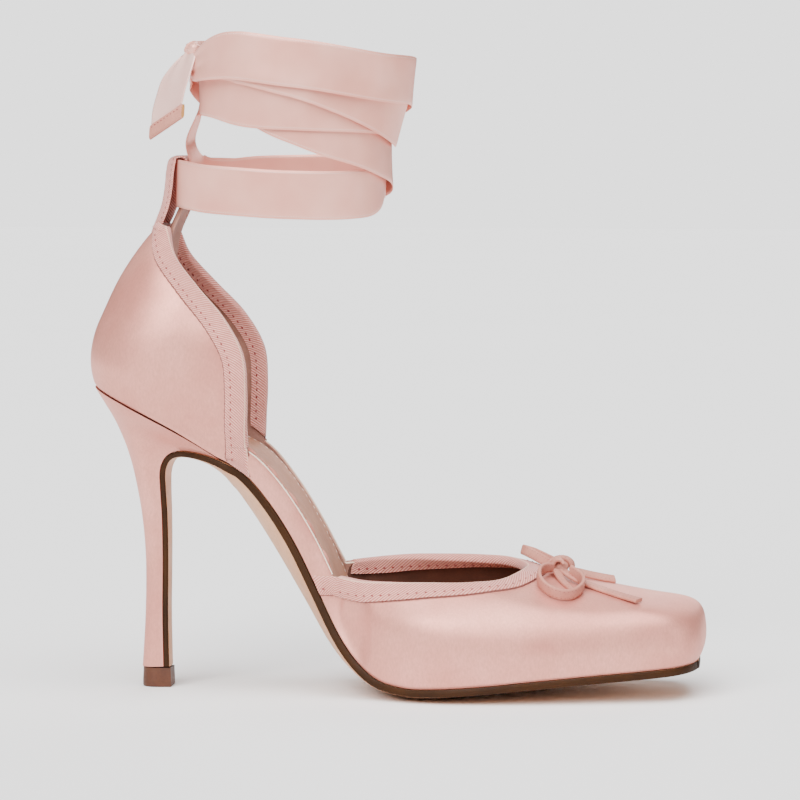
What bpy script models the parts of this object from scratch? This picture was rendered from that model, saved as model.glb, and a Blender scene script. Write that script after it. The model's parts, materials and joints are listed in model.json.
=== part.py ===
"""Right-foot satin stiletto with a square toe, open sides, a small bow and a ribbon
wound round the ankle. Lengths below are in millimetres, and mesh_object scales them to
metres. +X points to the toe, +Y to the inner side of the foot and +Z up, with the floor
at z = 0. NEAR is the outer side of the foot (-Y) and FAR the inner side (+Y)."""

from collections import namedtuple
import math

import bmesh
import bpy
from mathutils.bvhtree import BVHTree
import numpy as np

MM = 0.001
NEAR, FAR = -1.0, 1.0

# Driving dimensions
HEEL_BACK_X = -107.7      # back of the seat on the feather line
TOE_X = 105.0             # front of the toe on the feather line
SEAT_ROUND = 26.0         # length over which the seat rounds off at the back
TOE_ROUND = 13.0          # length over which the square toe rounds off
COUNTER_EDGE_X = -51.3    # front edge of the counter on the feather line
VAMP_REAR_X = -27.3       # rear corner of the vamp on the feather line
BAND_HEIGHT = 7.0         # satin band along the open waist
WALL = 1.4                # satin and lining together
GAP = 0.3                 # clearance between pieces that touch
BINDING_WIDTH = 6.6
BINDING_THICK = 0.7
INNER_LEG = 6.0           # width of a binding inside the shoe
SOLE_EDGE = 2.6           # thickness of the outsole at its edge

# The feather line, where upper and sole meet: height and half widths before the ends
# are rounded off. crown is how far the last's bottom bulges down between its edges.
Feather = namedtuple("Feather", "x z near far crown")
FEATHER = [Feather(*row) for row in (
    (-107.7, 106.7, 25.0, 25.0, 0.0),
    (-94.8, 101.2, 25.0, 25.0, 0.0),
    (-78.5, 93.4, 24.8, 24.8, 0.0),
    (-63.4, 84.4, 23.2, 23.0, 0.0),
    (-51.3, 76.8, 21.2, 20.6, 0.0),
    (-43.9, 67.9, 20.0, 19.0, 1.3),
    (-34.5, 53.0, 19.4, 18.0, 2.6),
    (-26.4, 37.0, 20.8, 18.8, 2.8),
    (-17.0, 19.2, 24.2, 22.6, 2.6),
    (-7.0, 8.8, 29.5, 28.4, 2.4),
    (4.0, 5.4, 34.6, 33.6, 2.2),
    (16.0, 5.4, 37.8, 37.2, 2.0),
    (30.0, 6.4, 38.4, 38.6, 1.8),
    (48.0, 8.2, 37.0, 38.0, 1.6),
    (68.0, 10.0, 33.6, 35.2, 1.2),
    (86.0, 11.4, 29.4, 31.2, 0.8),
    (98.0, 12.4, 26.0, 28.2, 0.4),
    (105.0, 13.0, 24.0, 26.4, 0.2),
)]

# Levels of the counter, from the feather line to its top. Each is a U seen from above:
# its back point, its front edge, its widest and its front half width, and the length
# over which it rounds off at the back.
Level = namedtuple("Level", "share back_x back_z edge_x edge_z width front round")
COUNTER = [Level(*row) for row in (
    (0.00, -107.7, 106.7, -51.3, 76.8, 25.0, 21.2, 26.0),
    (0.08, -108.9, 111.5, -51.5, 82.6, 27.2, 22.8, 27.0),
    (0.18, -109.2, 117.0, -51.6, 92.0, 28.6, 25.2, 28.0),
    (0.32, -107.6, 125.5, -51.2, 106.0, 28.8, 27.0, 29.0),
    (0.46, -104.0, 134.0, -52.4, 119.0, 27.6, 27.2, 29.0),
    (0.60, -99.6, 143.2, -59.0, 131.0, 25.0, 25.2, 27.0),
    (0.74, -94.8, 151.0, -68.6, 141.6, 21.6, 21.6, 21.0),
    (0.87, -89.9, 157.6, -77.0, 151.8, 17.4, 17.0, 14.5),
    (1.00, -84.8, 163.4, -80.7, 162.0, 14.0, 12.6, 8.0),
)]

# Columns of the vamp, from its rear corner (turn 0) round to the middle of the toe
# (turn 1), each from the feather line up to the topline. turn and top say how far round
# its foot and its top lie, as shares of the lengths of those two lines. The other numbers
# shape the column: out and up from its foot for the bulge, the wall and the shoulder,
# then the last stretch's length as a share of the span, and its rise.
Column = namedtuple("Column", "turn top bulge_out bulge_up wall_out wall_up"
                              " shoulder_out shoulder_up crest crest_rise")
VAMP = [Column(*row) for row in (
    (0.00, 0.00, 0.3, 1.0, 0.5, 2.0, 0.4, 2.6, 0.30, -0.8),
    (0.12, 0.09, 1.0, 3.5, 1.4, 8.5, 1.0, 13.0, 0.30, -3.0),
    (0.24, 0.21, 1.8, 6.0, 2.4, 15.0, 1.2, 23.0, 0.35, -4.5),
    (0.34, 0.35, 2.2, 6.5, 3.0, 16.5, 1.0, 26.0, 0.38, -4.6),
    (0.46, 0.50, 2.4, 6.5, 2.8, 15.5, -2.2, 24.6, 0.41, -4.2),
    (0.60, 0.64, 2.4, 6.0, 2.2, 13.5, -4.8, 22.0, 0.46, -4.6),
    (0.75, 0.77, 2.4, 5.0, 1.8, 12.5, -5.2, 20.4, 0.53, -6.8),
    (0.87, 0.88, 2.4, 4.5, 1.8, 12.6, -4.2, 20.6, 0.60, -8.3),
    (1.00, 1.00, 2.6, 4.0, 2.8, 14.0, -0.6, 23.1, 0.66, -8.0),
)]

# Topline of the vamp on each side: height and half width before the throat is rounded
Topline = namedtuple("Topline", "x near_z far_z near far")
TOPLINE = [Topline(*row) for row in (
    (-21.2, 42.0, 42.6, 20.6, 18.6),
    (-12.0, 40.4, 43.2, 24.4, 23.2),
    (0.0, 40.1, 44.1, 27.0, 26.0),
    (14.0, 40.1, 44.3, 27.2, 26.6),
    (28.0, 40.1, 44.3, 26.0, 25.6),
    (38.0, 40.7, 44.2, 24.5, 24.5),
    (45.0, 43.2, 43.2, 24.0, 24.0),
)]
THROAT_X = TOPLINE[-1].x
THROAT_ROUND = 26.0


def spline(xs, ys):
    """Smooth curve through a table, as a function of its first column."""
    xs = np.asarray(xs, float)
    ys = np.asarray(ys, float)
    slopes = np.gradient(ys, xs)

    def value(x):
        x = np.clip(x, xs[0], xs[-1])
        i = np.clip(np.searchsorted(xs, x) - 1, 0, len(xs) - 2)
        span = xs[i + 1] - xs[i]
        t = (x - xs[i]) / span
        rise = t * t * (3.0 - 2.0 * t)
        leave = t * (1.0 - t) ** 2 * span * slopes[i]
        arrive = t * t * (t - 1.0) * span * slopes[i + 1]
        return ys[i] * (1.0 - rise) + ys[i + 1] * rise + leave + arrive

    return value


def column_of(table, key, name):
    """One named column of a table as a smooth function of its key column."""
    return spline([getattr(row, key) for row in table], [getattr(row, name) for row in table])


def smooth_step(t):
    t = np.clip(t, 0.0, 1.0)
    return t * t * (3.0 - 2.0 * t)


def round_end(share, power):
    """Width of a rounded end, from 0 at its tip to 1 where it reaches full width."""
    share = np.clip(share, 0.0, 1.0)
    return (1.0 - (1.0 - share) ** power) ** (1.0 / power)


def clamped_bspline(points, t):
    """Cubic B-spline that starts and ends on its first and last control points."""
    points = np.asarray(points, float)
    count = len(points)
    knots = np.concatenate([[0.0] * 3, np.linspace(0.0, 1.0, count - 2), [1.0] * 3])
    t = np.clip(np.atleast_1d(t), 0.0, 1.0 - 1e-9)
    basis = [((low <= t) & (t < high)) * 1.0 for low, high in zip(knots, knots[1:])]
    for degree in range(1, 4):
        raised = []
        for i in range(len(basis) - 1):
            left_span = knots[i + degree] - knots[i]
            right_span = knots[i + degree + 1] - knots[i + 1]
            left = (t - knots[i]) / left_span if left_span > 0 else 0.0 * t
            right = (knots[i + degree + 1] - t) / right_span if right_span > 0 else 0.0 * t
            raised.append(left * basis[i] + right * basis[i + 1])
        basis = raised
    return np.array(basis).T @ points


def resample(line, shares):
    """Points at the given shares of a polyline's length."""
    line = np.asarray(line, float)
    steps = np.linalg.norm(np.diff(line, axis=0), axis=1)
    length = np.concatenate([[0.0], np.cumsum(steps)])
    wanted = np.asarray(shares) * length[-1]
    return np.stack([np.interp(wanted, length, line[:, k]) for k in range(line.shape[1])], axis=1)


feather_z = column_of(FEATHER, "x", "z")
feather_crown = column_of(FEATHER, "x", "crown")
FEATHER_WIDTH = {NEAR: column_of(FEATHER, "x", "near"), FAR: column_of(FEATHER, "x", "far")}
TOP_WIDTH = {NEAR: column_of(TOPLINE, "x", "near"), FAR: column_of(TOPLINE, "x", "far")}
TOP_HEIGHT = {NEAR: column_of(TOPLINE, "x", "near_z"), FAR: column_of(TOPLINE, "x", "far_z")}


def feather_half(x, side):
    ends = round_end((x - HEEL_BACK_X) / SEAT_ROUND, 2.0) * round_end((TOE_X - x) / TOE_ROUND, 2.6)
    return FEATHER_WIDTH[side](x) * ends


def feather_normal(x):
    """Unit normal of the bottom in the X-Z plane, pointing up and forward."""
    slope = (feather_z(x + 0.5) - feather_z(x - 0.5))
    size = math.hypot(1.0, slope)
    return np.array([-slope / size, 0.0, 1.0 / size])


def feather_point(x, side):
    return np.array([x, side * feather_half(x, side), feather_z(x)])


def spaced(first, last, count, clustered="both"):
    """Values from first to last that crowd towards the rounded ends."""
    t = np.linspace(0.0, 1.0, count)
    if clustered == "both":
        t = 0.5 - 0.5 * np.cos(math.pi * t)
    elif clustered == "last":
        t = np.sin(0.5 * math.pi * t)
    return first + (last - first) * t


# ---------------------------------------------------------------- counter surface
LEVEL = {name: column_of(COUNTER, "share", name) for name in Level._fields[1:]}


def counter_point(level, share, side):
    """Outer face of the counter: share runs from its back (0) to its front edge (1)."""
    back_x, edge_x = LEVEL["back_x"](level), LEVEL["edge_x"](level)
    back_z, edge_z = LEVEL["back_z"](level), LEVEL["edge_z"](level)
    x = back_x + (edge_x - back_x) * share
    width, front = LEVEL["width"](level), LEVEL["front"](level)
    upper = (width + (front - width) * smooth_step(share))
    upper = upper * round_end((x - back_x) / LEVEL["round"](level), 2.0)
    seat_x = HEEL_BACK_X + (COUNTER_EDGE_X - HEEL_BACK_X) * share
    lift = smooth_step(level / 0.2)
    half = feather_half(seat_x, side) * (1.0 - lift) + upper * lift
    seat_chord = COUNTER[0].back_z + (COUNTER[0].edge_z - COUNTER[0].back_z) * share
    sag = (feather_z(seat_x) - seat_chord) * (1.0 - level) ** 3
    return np.array([x, side * half, back_z + (edge_z - back_z) * share + sag])


# ---------------------------------------------------------------- vamp surface
def half_line(start_x, end_x, point, count=400):
    xs = spaced(start_x, end_x, count, "last")
    return np.array([point(x) for x in xs])


def topline_point(x, side):
    half = TOP_WIDTH[side](x) * round_end((THROAT_X - x) / THROAT_ROUND, 2.2)
    return np.array([x, side * half, TOP_HEIGHT[side](x)])


VAMP_FOOT = {side: half_line(VAMP_REAR_X, TOE_X, lambda x, s=side: feather_point(x, s))
             for side in (NEAR, FAR)}
VAMP_TOP = {side: half_line(TOPLINE[0].x, THROAT_X, lambda x, s=side: topline_point(x, s))
            for side in (NEAR, FAR)}
SHAPE = {name: column_of(VAMP, "turn", name) for name in Column._fields[1:]}


def vamp_column(turn, side, heights):
    """Points up one column of the vamp's outer face, from feather line to topline."""
    foot = resample(VAMP_FOOT[side], [turn])[0]
    top = resample(VAMP_TOP[side], [SHAPE["top"](turn)])[0]
    shape = {name: SHAPE[name](turn) for name in Column._fields[2:]}
    ahead = resample(VAMP_FOOT[side], [min(turn + 0.01, 1.0)])[0]
    behind = resample(VAMP_FOOT[side], [max(turn - 0.01, 0.0)])[0]
    along = (ahead - behind)[:2]
    across = np.array([-along[1], along[0]]) * -side
    if turn > 0.995:
        across = np.array([1.0, 0.0])
    across = across / np.linalg.norm(across)
    span = (foot - top)[:2]
    reach = np.linalg.norm(span)
    lean = smooth_step(turn / 0.4)
    out = across * (1.0 - lean) + span / reach * lean
    out = np.append(out / np.linalg.norm(out), 0.0)
    up = np.array([0.0, 0.0, 1.0])
    if turn < 0.12:
        up = feather_normal(foot[0]) * (1.0 - turn / 0.12) + up * turn / 0.12
    crest = top + (foot - top) * [shape["crest"], shape["crest"], 0.0]
    hull = [foot,
            foot + out * shape["bulge_out"] + up * shape["bulge_up"],
            foot + out * shape["wall_out"] + up * shape["wall_up"],
            foot + out * shape["shoulder_out"] + up * shape["shoulder_up"],
            crest + np.array([0.0, 0.0, shape["crest_rise"]]),
            top]
    return clamped_bspline(hull, heights)


# ---------------------------------------------------------------- meshes
def material(name, colour, roughness, metallic=0.0):
    made = bpy.data.materials.new(name)
    made.use_nodes = True
    shader = made.node_tree.nodes["Principled BSDF"]
    shader.inputs["Base Color"].default_value = (*colour, 1.0)
    shader.inputs["Roughness"].default_value = roughness
    shader.inputs["Metallic"].default_value = metallic
    made.diffuse_color = (*colour, 1.0)
    return made


def mesh_object(name, vertices, faces, finish):
    """One object in the shoe's collection, from vertices in millimetres."""
    mesh = bpy.data.meshes.new(name)
    mesh.from_pydata([tuple(float(c) * MM for c in v) for v in vertices], [], faces)
    mesh.materials.append(finish)
    made = bpy.data.objects.new(name, mesh)
    SHOE.objects.link(made)
    return made


def tidy(made, distance=0.01):
    """Weld vertices that lie together and turn the faces outwards."""
    work = bmesh.new()
    work.from_mesh(made.data)
    bmesh.ops.remove_doubles(work, verts=work.verts, dist=distance * MM)
    bmesh.ops.dissolve_degenerate(work, edges=work.edges, dist=distance * MM)
    bmesh.ops.triangulate(work, faces=work.faces, quad_method="SHORT_EDGE")
    bmesh.ops.recalc_face_normals(work, faces=work.faces)
    work.to_mesh(made.data)
    work.free()
    made.data.shade_smooth()
    made.data.set_sharp_from_angle(angle=math.radians(40.0))
    return made


class Sheet:
    """Collects grids of points into one list of vertices and faces."""

    def __init__(self):
        self.vertices = []
        self.faces = []

    def add_line(self, points):
        first = len(self.vertices)
        self.vertices.extend(points)
        return list(range(first, first + len(points)))

    def add_grid(self, rows, flip=False):
        lines = [self.add_line(row) for row in rows]
        for low, high in zip(lines, lines[1:]):
            for i in range(len(low) - 1):
                quad = (low[i], low[i + 1], high[i + 1], high[i])
                self.faces.append(quad[::-1] if flip else quad)
        return lines

    def bridge(self, first, second, flip=False):
        """Triangles between two lines with different numbers of points."""
        i = j = 0
        a = [np.asarray(p) for p in first]
        b = [np.asarray(p) for p in second]
        start_a = self.add_line(a)
        start_b = self.add_line(b)
        while i < len(a) - 1 or j < len(b) - 1:
            step_a = i < len(a) - 1 and (
                j == len(b) - 1
                or np.linalg.norm(a[i + 1] - b[j]) <= np.linalg.norm(a[i] - b[j + 1]))
            if step_a:
                face = (start_a[i], start_a[i + 1], start_b[j])
                i += 1
            else:
                face = (start_a[i], start_b[j + 1], start_b[j])
                j += 1
            self.faces.append(face[::-1] if flip else face)


def loft(name, sections, finish):
    """Closed solid through rings of points, with both ends capped."""
    count = len(sections[0])
    vertices = [p for ring in sections for p in ring]
    faces = []
    for k in range(len(sections) - 1):
        base, above = k * count, (k + 1) * count
        for i in range(count):
            j = (i + 1) % count
            faces.append((base + i, base + j, above + j, above + i))
    last = (len(sections) - 1) * count
    for i in range(count // 2):
        j = count - 1 - i
        if i + 1 < j - 1:
            faces.append((j, j - 1, i + 1, i))
            faces.append((last + i, last + i + 1, last + j - 1, last + j))
        elif i + 1 == j - 1:
            faces.append((j, i + 1, i))
            faces.append((last + i, last + i + 1, last + j))
    return tidy(mesh_object(name, vertices, faces, finish))


# ---------------------------------------------------------------- upper
COUNTER_LEVELS = (0.0, 0.04, 0.08, 0.12, 0.2, 0.3, 0.4, 0.5, 0.6, 0.7, 0.79, 0.87, 0.94, 1.0)
BAND_ROWS = 3
SIDE_SHARES = (0.0, 0.012, 0.045, 0.1, 0.175, 0.27, 0.38, 0.5, 0.62, 0.74, 0.84, 0.92, 1.0)
VAMP_TURNS = (0.035, 0.08, 0.13, 0.18, 0.24, 0.3, 0.36, 0.43, 0.5, 0.57, 0.64, 0.71, 0.77,
              0.82, 0.86, 0.895, 0.93, 0.965, 1.0)
VAMP_HEIGHTS = (0.0, 0.09, 0.19, 0.3, 0.4, 0.5, 0.58, 0.66, 0.74, 0.82, 0.91, 1.0)
BAND_COLUMNS = 7


def band_top(x, side):
    """Upper edge of the waist band above a point of the feather line."""
    return feather_point(x, side) + feather_normal(x) * BAND_HEIGHT


def band_columns(side):
    """Columns of the waist band, from the counter's edge to the vamp's corner."""
    edge = [counter_point(COUNTER_LEVELS[k], 1.0, side) for k in range(BAND_ROWS + 1)]
    start_x = COUNTER_EDGE_X - 4.6
    columns = [edge]
    for k in range(1, BAND_COLUMNS + 1):
        share = k / BAND_COLUMNS
        low = feather_point(COUNTER_EDGE_X + (VAMP_REAR_X - COUNTER_EDGE_X) * share, side)
        high = band_top(start_x + (VAMP_REAR_X - start_x) * share, side)
        ease = (1.0 - smooth_step(share / 0.4)) * (edge[-1][1] - band_top(start_x, side)[1])
        high = high + np.array([0.0, ease, 0.0])
        bulge = np.array([0.0, side * 0.6, 0.0])
        if k == BAND_COLUMNS:
            high = topline_point(TOPLINE[0].x, side)
        columns.append([low + (high - low) * t + bulge * math.sin(math.pi * t)
                        for t in np.linspace(0.0, 1.0, BAND_ROWS + 1)])
    return columns


def upper_sheet():
    """Outer face of the upper: counter, waist bands and vamp as one open sheet."""
    sheet = Sheet()
    for side, flip in ((NEAR, True), (FAR, False)):
        rows = [[counter_point(level, share, side) for share in SIDE_SHARES]
                for level in COUNTER_LEVELS]
        sheet.add_grid(rows, flip=not flip)
        bands = band_columns(side)
        sheet.add_grid(bands, flip=flip)
        vamp = [list(vamp_column(turn, side, VAMP_HEIGHTS)) for turn in VAMP_TURNS]
        sheet.bridge(bands[-1], vamp[0], flip=flip)
        sheet.add_grid(vamp, flip=flip)
    return sheet


def build_upper(finish):
    sheet = upper_sheet()
    made = tidy(mesh_object("upper", sheet.vertices, sheet.faces, finish), 0.05)
    shell = made.modifiers.new("wall", "SOLIDIFY")
    shell.thickness = WALL * MM
    shell.offset = -1.0
    shell.use_even_offset = True
    return made


# ---------------------------------------------------------------- sole, insole
SOLE_ACROSS = np.linspace(-1.0, 1.0, 7)

# The outsole behind the waist: it leaves the feather line under the heel's front lip,
# turns down at the breast and runs down the heel's front. x and z are its inner face,
# tilt the angle of that face's normal from upright, half its half width.
Breast = namedtuple("Breast", "x z tilt half edge dome")
BREAST = [Breast(*row) for row in (
    (-57.0, 80.1, 31.0, 22.0, 2.5, 4.4),
    (-61.0, 81.9, 22.0, 21.3, 2.3, 3.4),
    (-66.0, 83.4, 13.0, 19.6, 2.1, 2.2),
    (-71.5, 84.3, 4.0, 17.0, 2.0, 1.4),
    (-76.5, 84.2, -12.0, 13.8, 1.9, 0.9),
    (-80.4, 82.6, -38.0, 10.8, 1.8, 0.6),
    (-82.7, 79.8, -62.0, 8.8, 1.8, 0.4),
    (-83.8, 76.0, -82.0, 7.4, 1.8, 0.3),
    (-83.8, 70.0, -92.0, 6.2, 1.8, 0.3),
    (-83.4, 60.0, -91.0, 5.2, 1.8, 0.3),
    (-83.3, 45.0, -89.0, 4.5, 1.8, 0.3),
    (-83.5, 26.0, -89.0, 4.3, 1.8, 0.3),
    (-83.2, 7.3, -90.0, 4.3, 1.8, 0.2),
)]

# Rows of the heel, one behind each row of the breast but the first: its back point,
# its widest, the length over which the back is rounded, and how far it arches.
HeelRow = namedtuple("HeelRow", "x z width round arch")
HEEL = [HeelRow(*row) for row in (
    (-107.7, 106.3, 24.9, 26.0, 1.5),
    (-107.0, 105.0, 24.4, 26.0, 1.4),
    (-105.6, 102.7, 23.2, 25.0, 1.2),
    (-103.8, 99.7, 21.0, 23.5, 1.0),
    (-101.2, 95.3, 17.8, 20.5, 0.8),
    (-98.6, 89.7, 14.4, 16.5, 0.4),
    (-96.3, 83.6, 11.4, 12.8, 0.2),
    (-94.0, 75.0, 8.8, 10.0, 0.0),
    (-91.5, 61.0, 6.4, 7.2, 0.0),
    (-90.2, 45.2, 5.1, 5.6, 0.0),
    (-90.4, 26.0, 4.8, 5.2, 0.0),
    (-91.5, 7.1, 4.8, 5.2, 0.0),
)]
TIP = [HeelRow(*row) for row in (
    (-91.2, 6.8, 4.9, 5.2, 0.0),
    (-91.4, 1.0, 5.0, 5.3, 0.0),
    (-91.1, 0.0, 4.7, 5.0, 0.0),
)]
TIP_FRONT = (-80.9, -80.7, -81.0)
HEEL_SHARES = (0.0, 0.03, 0.1, 0.22, 0.38, 0.56, 0.76, 1.0)

# Underside of the outsole: how far the middle hangs below its edge, along the foot
Dome = namedtuple("Dome", "x drop")
DOME = [Dome(*row) for row in (
    (-52.0, 6.0), (-44.0, 6.8), (-34.5, 6.8), (-26.4, 5.6), (-17.0, 4.4), (-7.0, 3.5),
    (4.0, 3.2), (16.0, 3.1), (30.0, 2.4), (48.0, 2.0), (68.0, 1.6), (86.0, 1.2), (105.0, 0.6))]
dome_drop = column_of(DOME, "x", "drop")
SOLE_STATIONS = (105.0, 104.2, 102.6, 100.0, 96.0, 90.0, 82.0, 71.0, 58.0, 44.0, 31.0, 20.0,
                 11.0, 3.0, -4.0, -10.5, -16.5, -22.5, -28.5, -35.0, -42.0, -48.0, -53.0)

# The insole: its thickness and how far it stands in from the feather line
Insole = namedtuple("Insole", "x thick inset")
INSOLE = [Insole(*row) for row in (
    (-106.0, 5.0, 1.9),
    (-80.0, 5.0, 1.9),
    (-60.0, 6.0, 1.9),
    (-48.0, 6.6, 1.9),
    (-31.0, 6.6, 1.9),
    (-26.0, 6.2, 2.8),
    (-18.0, 4.6, 3.2),
    (-8.0, 3.3, 3.2),
    (4.0, 3.0, 3.2),
    (103.0, 3.0, 2.6),
)]
INSOLE_STATIONS = (102.3, 100.5, 97.0, 91.0, 82.0, 66.0, 50.0, 34.0, 20.0, 8.0, -2.0, -10.5,
                   -16.5, -22.5, -28.5, -35.0, -42.0, -48.0, -53.0, -57.0, -62.0, -70.0, -79.0,
                   -87.0, -94.0, -99.0, -102.6, -104.8)


def sole_section(centre, normal, near, far, crown, edge, dome):
    """Ring of points: the inner face from near to far, then the underside back."""
    inner, under = [], []
    for t in SOLE_ACROSS:
        y = far * t if t > 0 else near * t
        middle = 1.0 - t * t
        inner.append(centre + np.array([0.0, y, 0.0]) - normal * (crown * middle))
        below = centre + np.array([0.0, y, 0.0]) - normal * (edge + dome * middle)
        below[2] = max(below[2], 0.0)
        under.append(below)
    return inner + under[::-1]


def build_outsole(finish):
    sections = []
    for x in SOLE_STATIONS:
        normal = feather_normal(x)
        centre = np.array([x, 0.0, feather_z(x)]) - normal * GAP
        near, far = feather_half(x, NEAR), feather_half(x, FAR)
        if x == TOE_X:
            near, far = 9.0, 9.6
        sections.append(sole_section(centre, normal, near, far, feather_crown(x),
                                     SOLE_EDGE, dome_drop(x)))
    for row in BREAST:
        lean = math.radians(row.tilt)
        normal = np.array([math.sin(lean), 0.0, math.cos(lean)])
        centre = np.array([row.x, 0.0, row.z])
        sections.append(sole_section(centre, normal, row.half, row.half, 0.0, row.edge, row.dome))
    return loft("outsole", sections, finish)


def build_insole(finish):
    thickness = column_of(INSOLE, "x", "thick")
    inset_at = column_of(INSOLE, "x", "inset")
    sections = []
    for x in INSOLE_STATIONS:
        inset = inset_at(x)
        ends = round_end((x - HEEL_BACK_X - inset) / (SEAT_ROUND - inset), 2.0)
        ends = ends * round_end((TOE_X - inset - x) / (TOE_ROUND - inset), 2.6)
        near = (FEATHER_WIDTH[NEAR](x) - inset) * ends
        far = (FEATHER_WIDTH[FAR](x) - inset) * ends
        normal = feather_normal(x)
        centre = np.array([x, 0.0, feather_z(x)])
        under, top = [], []
        for t in SOLE_ACROSS:
            y = far * t if t > 0 else near * t
            foot = centre + np.array([0.0, y, 0.0])
            under.append(foot - normal * (feather_crown(x) * (1.0 - t * t)))
            top.append(foot + normal * (thickness(x) - 0.5 * (1.0 - t * t)))
        sections.append(under + top[::-1])
    return loft("insole", sections, finish)


def heel_ring(row, front_x, front_z, front_half):
    """D-shaped ring: from the near corner of the breast round the back to the far one."""
    sides = {NEAR: [], FAR: []}
    for share in HEEL_SHARES:
        x = row.x + (front_x - row.x) * share
        z = row.z + (front_z - row.z) * share + row.arch * 4.0 * share * (1.0 - share)
        half = row.width + (front_half - row.width) * smooth_step((share - 0.3) / 0.7)
        half = half * round_end((x - row.x) / row.round, 2.0)
        for side in (NEAR, FAR):
            sides[side].append(np.array([x, side * half, z]))
    return sides[NEAR][::-1] + sides[FAR][1:]


def build_heel(finish):
    rings = []
    for row, breast in zip(HEEL, BREAST[1:]):
        lean = math.radians(breast.tilt)
        front_x = breast.x + GAP * math.sin(lean)
        front_z = breast.z + GAP * math.cos(lean)
        rings.append(heel_ring(row, front_x, front_z, breast.half))
    return loft("heel_block", rings, finish)


def build_tip(finish):
    rings = [heel_ring(row, front, row.z, 4.4) for row, front in zip(TIP, TIP_FRONT)]
    return loft("heel_tip", rings, finish)


# ---------------------------------------------------------------- bindings
# Section of a binding folded over an edge: depth below the edge, height off the face
Fold = namedtuple("Fold", "depth off")
OFF_OUT = GAP + BINDING_THICK
OFF_IN = -WALL - GAP - BINDING_THICK
FOLD = [Fold(*row) for row in (
    (BINDING_WIDTH, OFF_OUT),
    (0.5 * BINDING_WIDTH, OFF_OUT),
    (0.0, OFF_OUT),
    (-OFF_OUT, 0.5 * GAP),
    (-OFF_OUT, -WALL - 0.5 * GAP),
    (0.0, OFF_IN),
    (INNER_LEG, OFF_IN),
    (INNER_LEG, -WALL - GAP),
    (-GAP, -WALL - GAP),
    (-GAP, GAP),
    (0.5 * BINDING_WIDTH, GAP),
    (BINDING_WIDTH, GAP),
)]
# The same strip where it lies flat on the face, beside the waist band
FLAT = [Fold(*row) for row in (
    (BINDING_WIDTH, OFF_OUT),
    (0.5 * BINDING_WIDTH, OFF_OUT),
    (0.0, OFF_OUT),
    (-OFF_OUT, OFF_OUT),
    (-OFF_OUT, 1.6 * GAP),
    (-OFF_OUT, 1.6 * GAP),
    (-OFF_OUT, 1.6 * GAP),
    (-OFF_OUT, 1.6 * GAP),
    (-OFF_OUT, 1.6 * GAP),
    (-GAP, 1.2 * GAP),
    (0.5 * BINDING_WIDTH, GAP),
    (BINDING_WIDTH, GAP),
)]
COUNTER_EDGE_LEVELS = (0.128, 0.19, 0.26, 0.33, 0.4, 0.47, 0.54, 0.61, 0.68, 0.75, 0.81, 0.87,
                       0.94)
COUNTER_TOP_SHARES = (0.62, 0.3, 0.1, 0.025)
BAND_LEVELS = (0.0, 0.045, 0.09, 0.124)


def face_normal(point_at, u, v, heart):
    """Unit normal of a face at (u, v), pointing away from a point in its heart."""
    step = 0.004
    low_u, high_u = max(u - step, 0.0), min(u + step, 1.0)
    low_v, high_v = max(v - step, 0.0), min(v + step, 1.0)
    normal = np.cross(point_at(high_u, v) - point_at(low_u, v),
                      point_at(u, high_v) - point_at(u, low_v))
    normal = normal / np.linalg.norm(normal)
    return normal if normal @ (point_at(u, v) - heart) > 0.0 else -normal


def fold_ring(point_at, heart, start, aim, table, scale=1.0, inner=INNER_LEG,
              outer=BINDING_WIDTH):
    """Ring of a folded strip at the edge point start of a face, running in along aim.
    inner and outer limit the widths of its two legs."""
    reach = np.linspace(0.0, 1.0, 61)
    trail = np.array([point_at(start[0] + aim[0] * t, start[1] + aim[1] * t) for t in reach])
    steps = np.linalg.norm(np.diff(trail, axis=0), axis=1)
    length = np.concatenate([[0.0], np.cumsum(steps)])
    outward = (trail[0] - trail[1]) / steps[0]
    ring = []
    for row in table:
        depth = min(row.depth, inner if row.off < 0.0 else outer)
        t = np.interp(max(depth, 0.0) * scale, length, reach)
        u, v = start[0] + aim[0] * t, start[1] + aim[1] * t
        normal = face_normal(point_at, u, v, heart)
        beyond = outward * max(-depth, 0.0) * scale
        ring.append(point_at(u, v) + beyond + normal * row.off)
    return ring


def build_vamp_binding(finish):
    halves = {}
    for side in (NEAR, FAR):
        def point_at(turn, height, side=side):
            return vamp_column(turn, side, [height])[0]

        halves[side] = []
        for turn in (0.045,) + VAMP_TURNS[1:]:
            line = vamp_column(turn, side, np.linspace(0.0, 1.0, 30))
            tall = np.linalg.norm(np.diff(line, axis=0), axis=1).sum()
            inner = float(np.clip(tall - 7.0, 0.5, INNER_LEG))
            heart = np.array([line[-1][0] - 10.0, 0.0, 22.0])
            aim = (0.0, -min(1.0, 14.0 / tall))
            halves[side].append(fold_ring(point_at, heart, (turn, 1.0), aim, FOLD, 1.0, inner))
    return loft("vamp_binding", halves[NEAR] + halves[FAR][-2::-1], finish)


def counter_aims(level, side):
    """Steps in (level, share) running in from the front edge and down from the top."""
    step = 0.004
    edge = counter_point(level, 1.0, side)
    rise = (edge - counter_point(level - step, 1.0, side)) / step
    along = (edge - counter_point(level, 1.0 - step, side)) / step
    turn = rise @ along / (rise @ rise)
    drop = along @ rise / (along @ along)
    inward, downward = turn * rise - along, drop * along - rise
    size_in, size_down = np.linalg.norm(inward), np.linalg.norm(downward)
    meet = (inward / size_in) @ (downward / size_down)
    aim_in = np.array([turn, -1.0]) / size_in
    aim_down = np.array([-1.0, drop]) / size_down
    corner = (aim_in + aim_down) / (1.0 + meet)
    corner_scale = math.sqrt(2.0 / (1.0 + meet))
    return aim_in, corner, corner_scale


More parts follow.
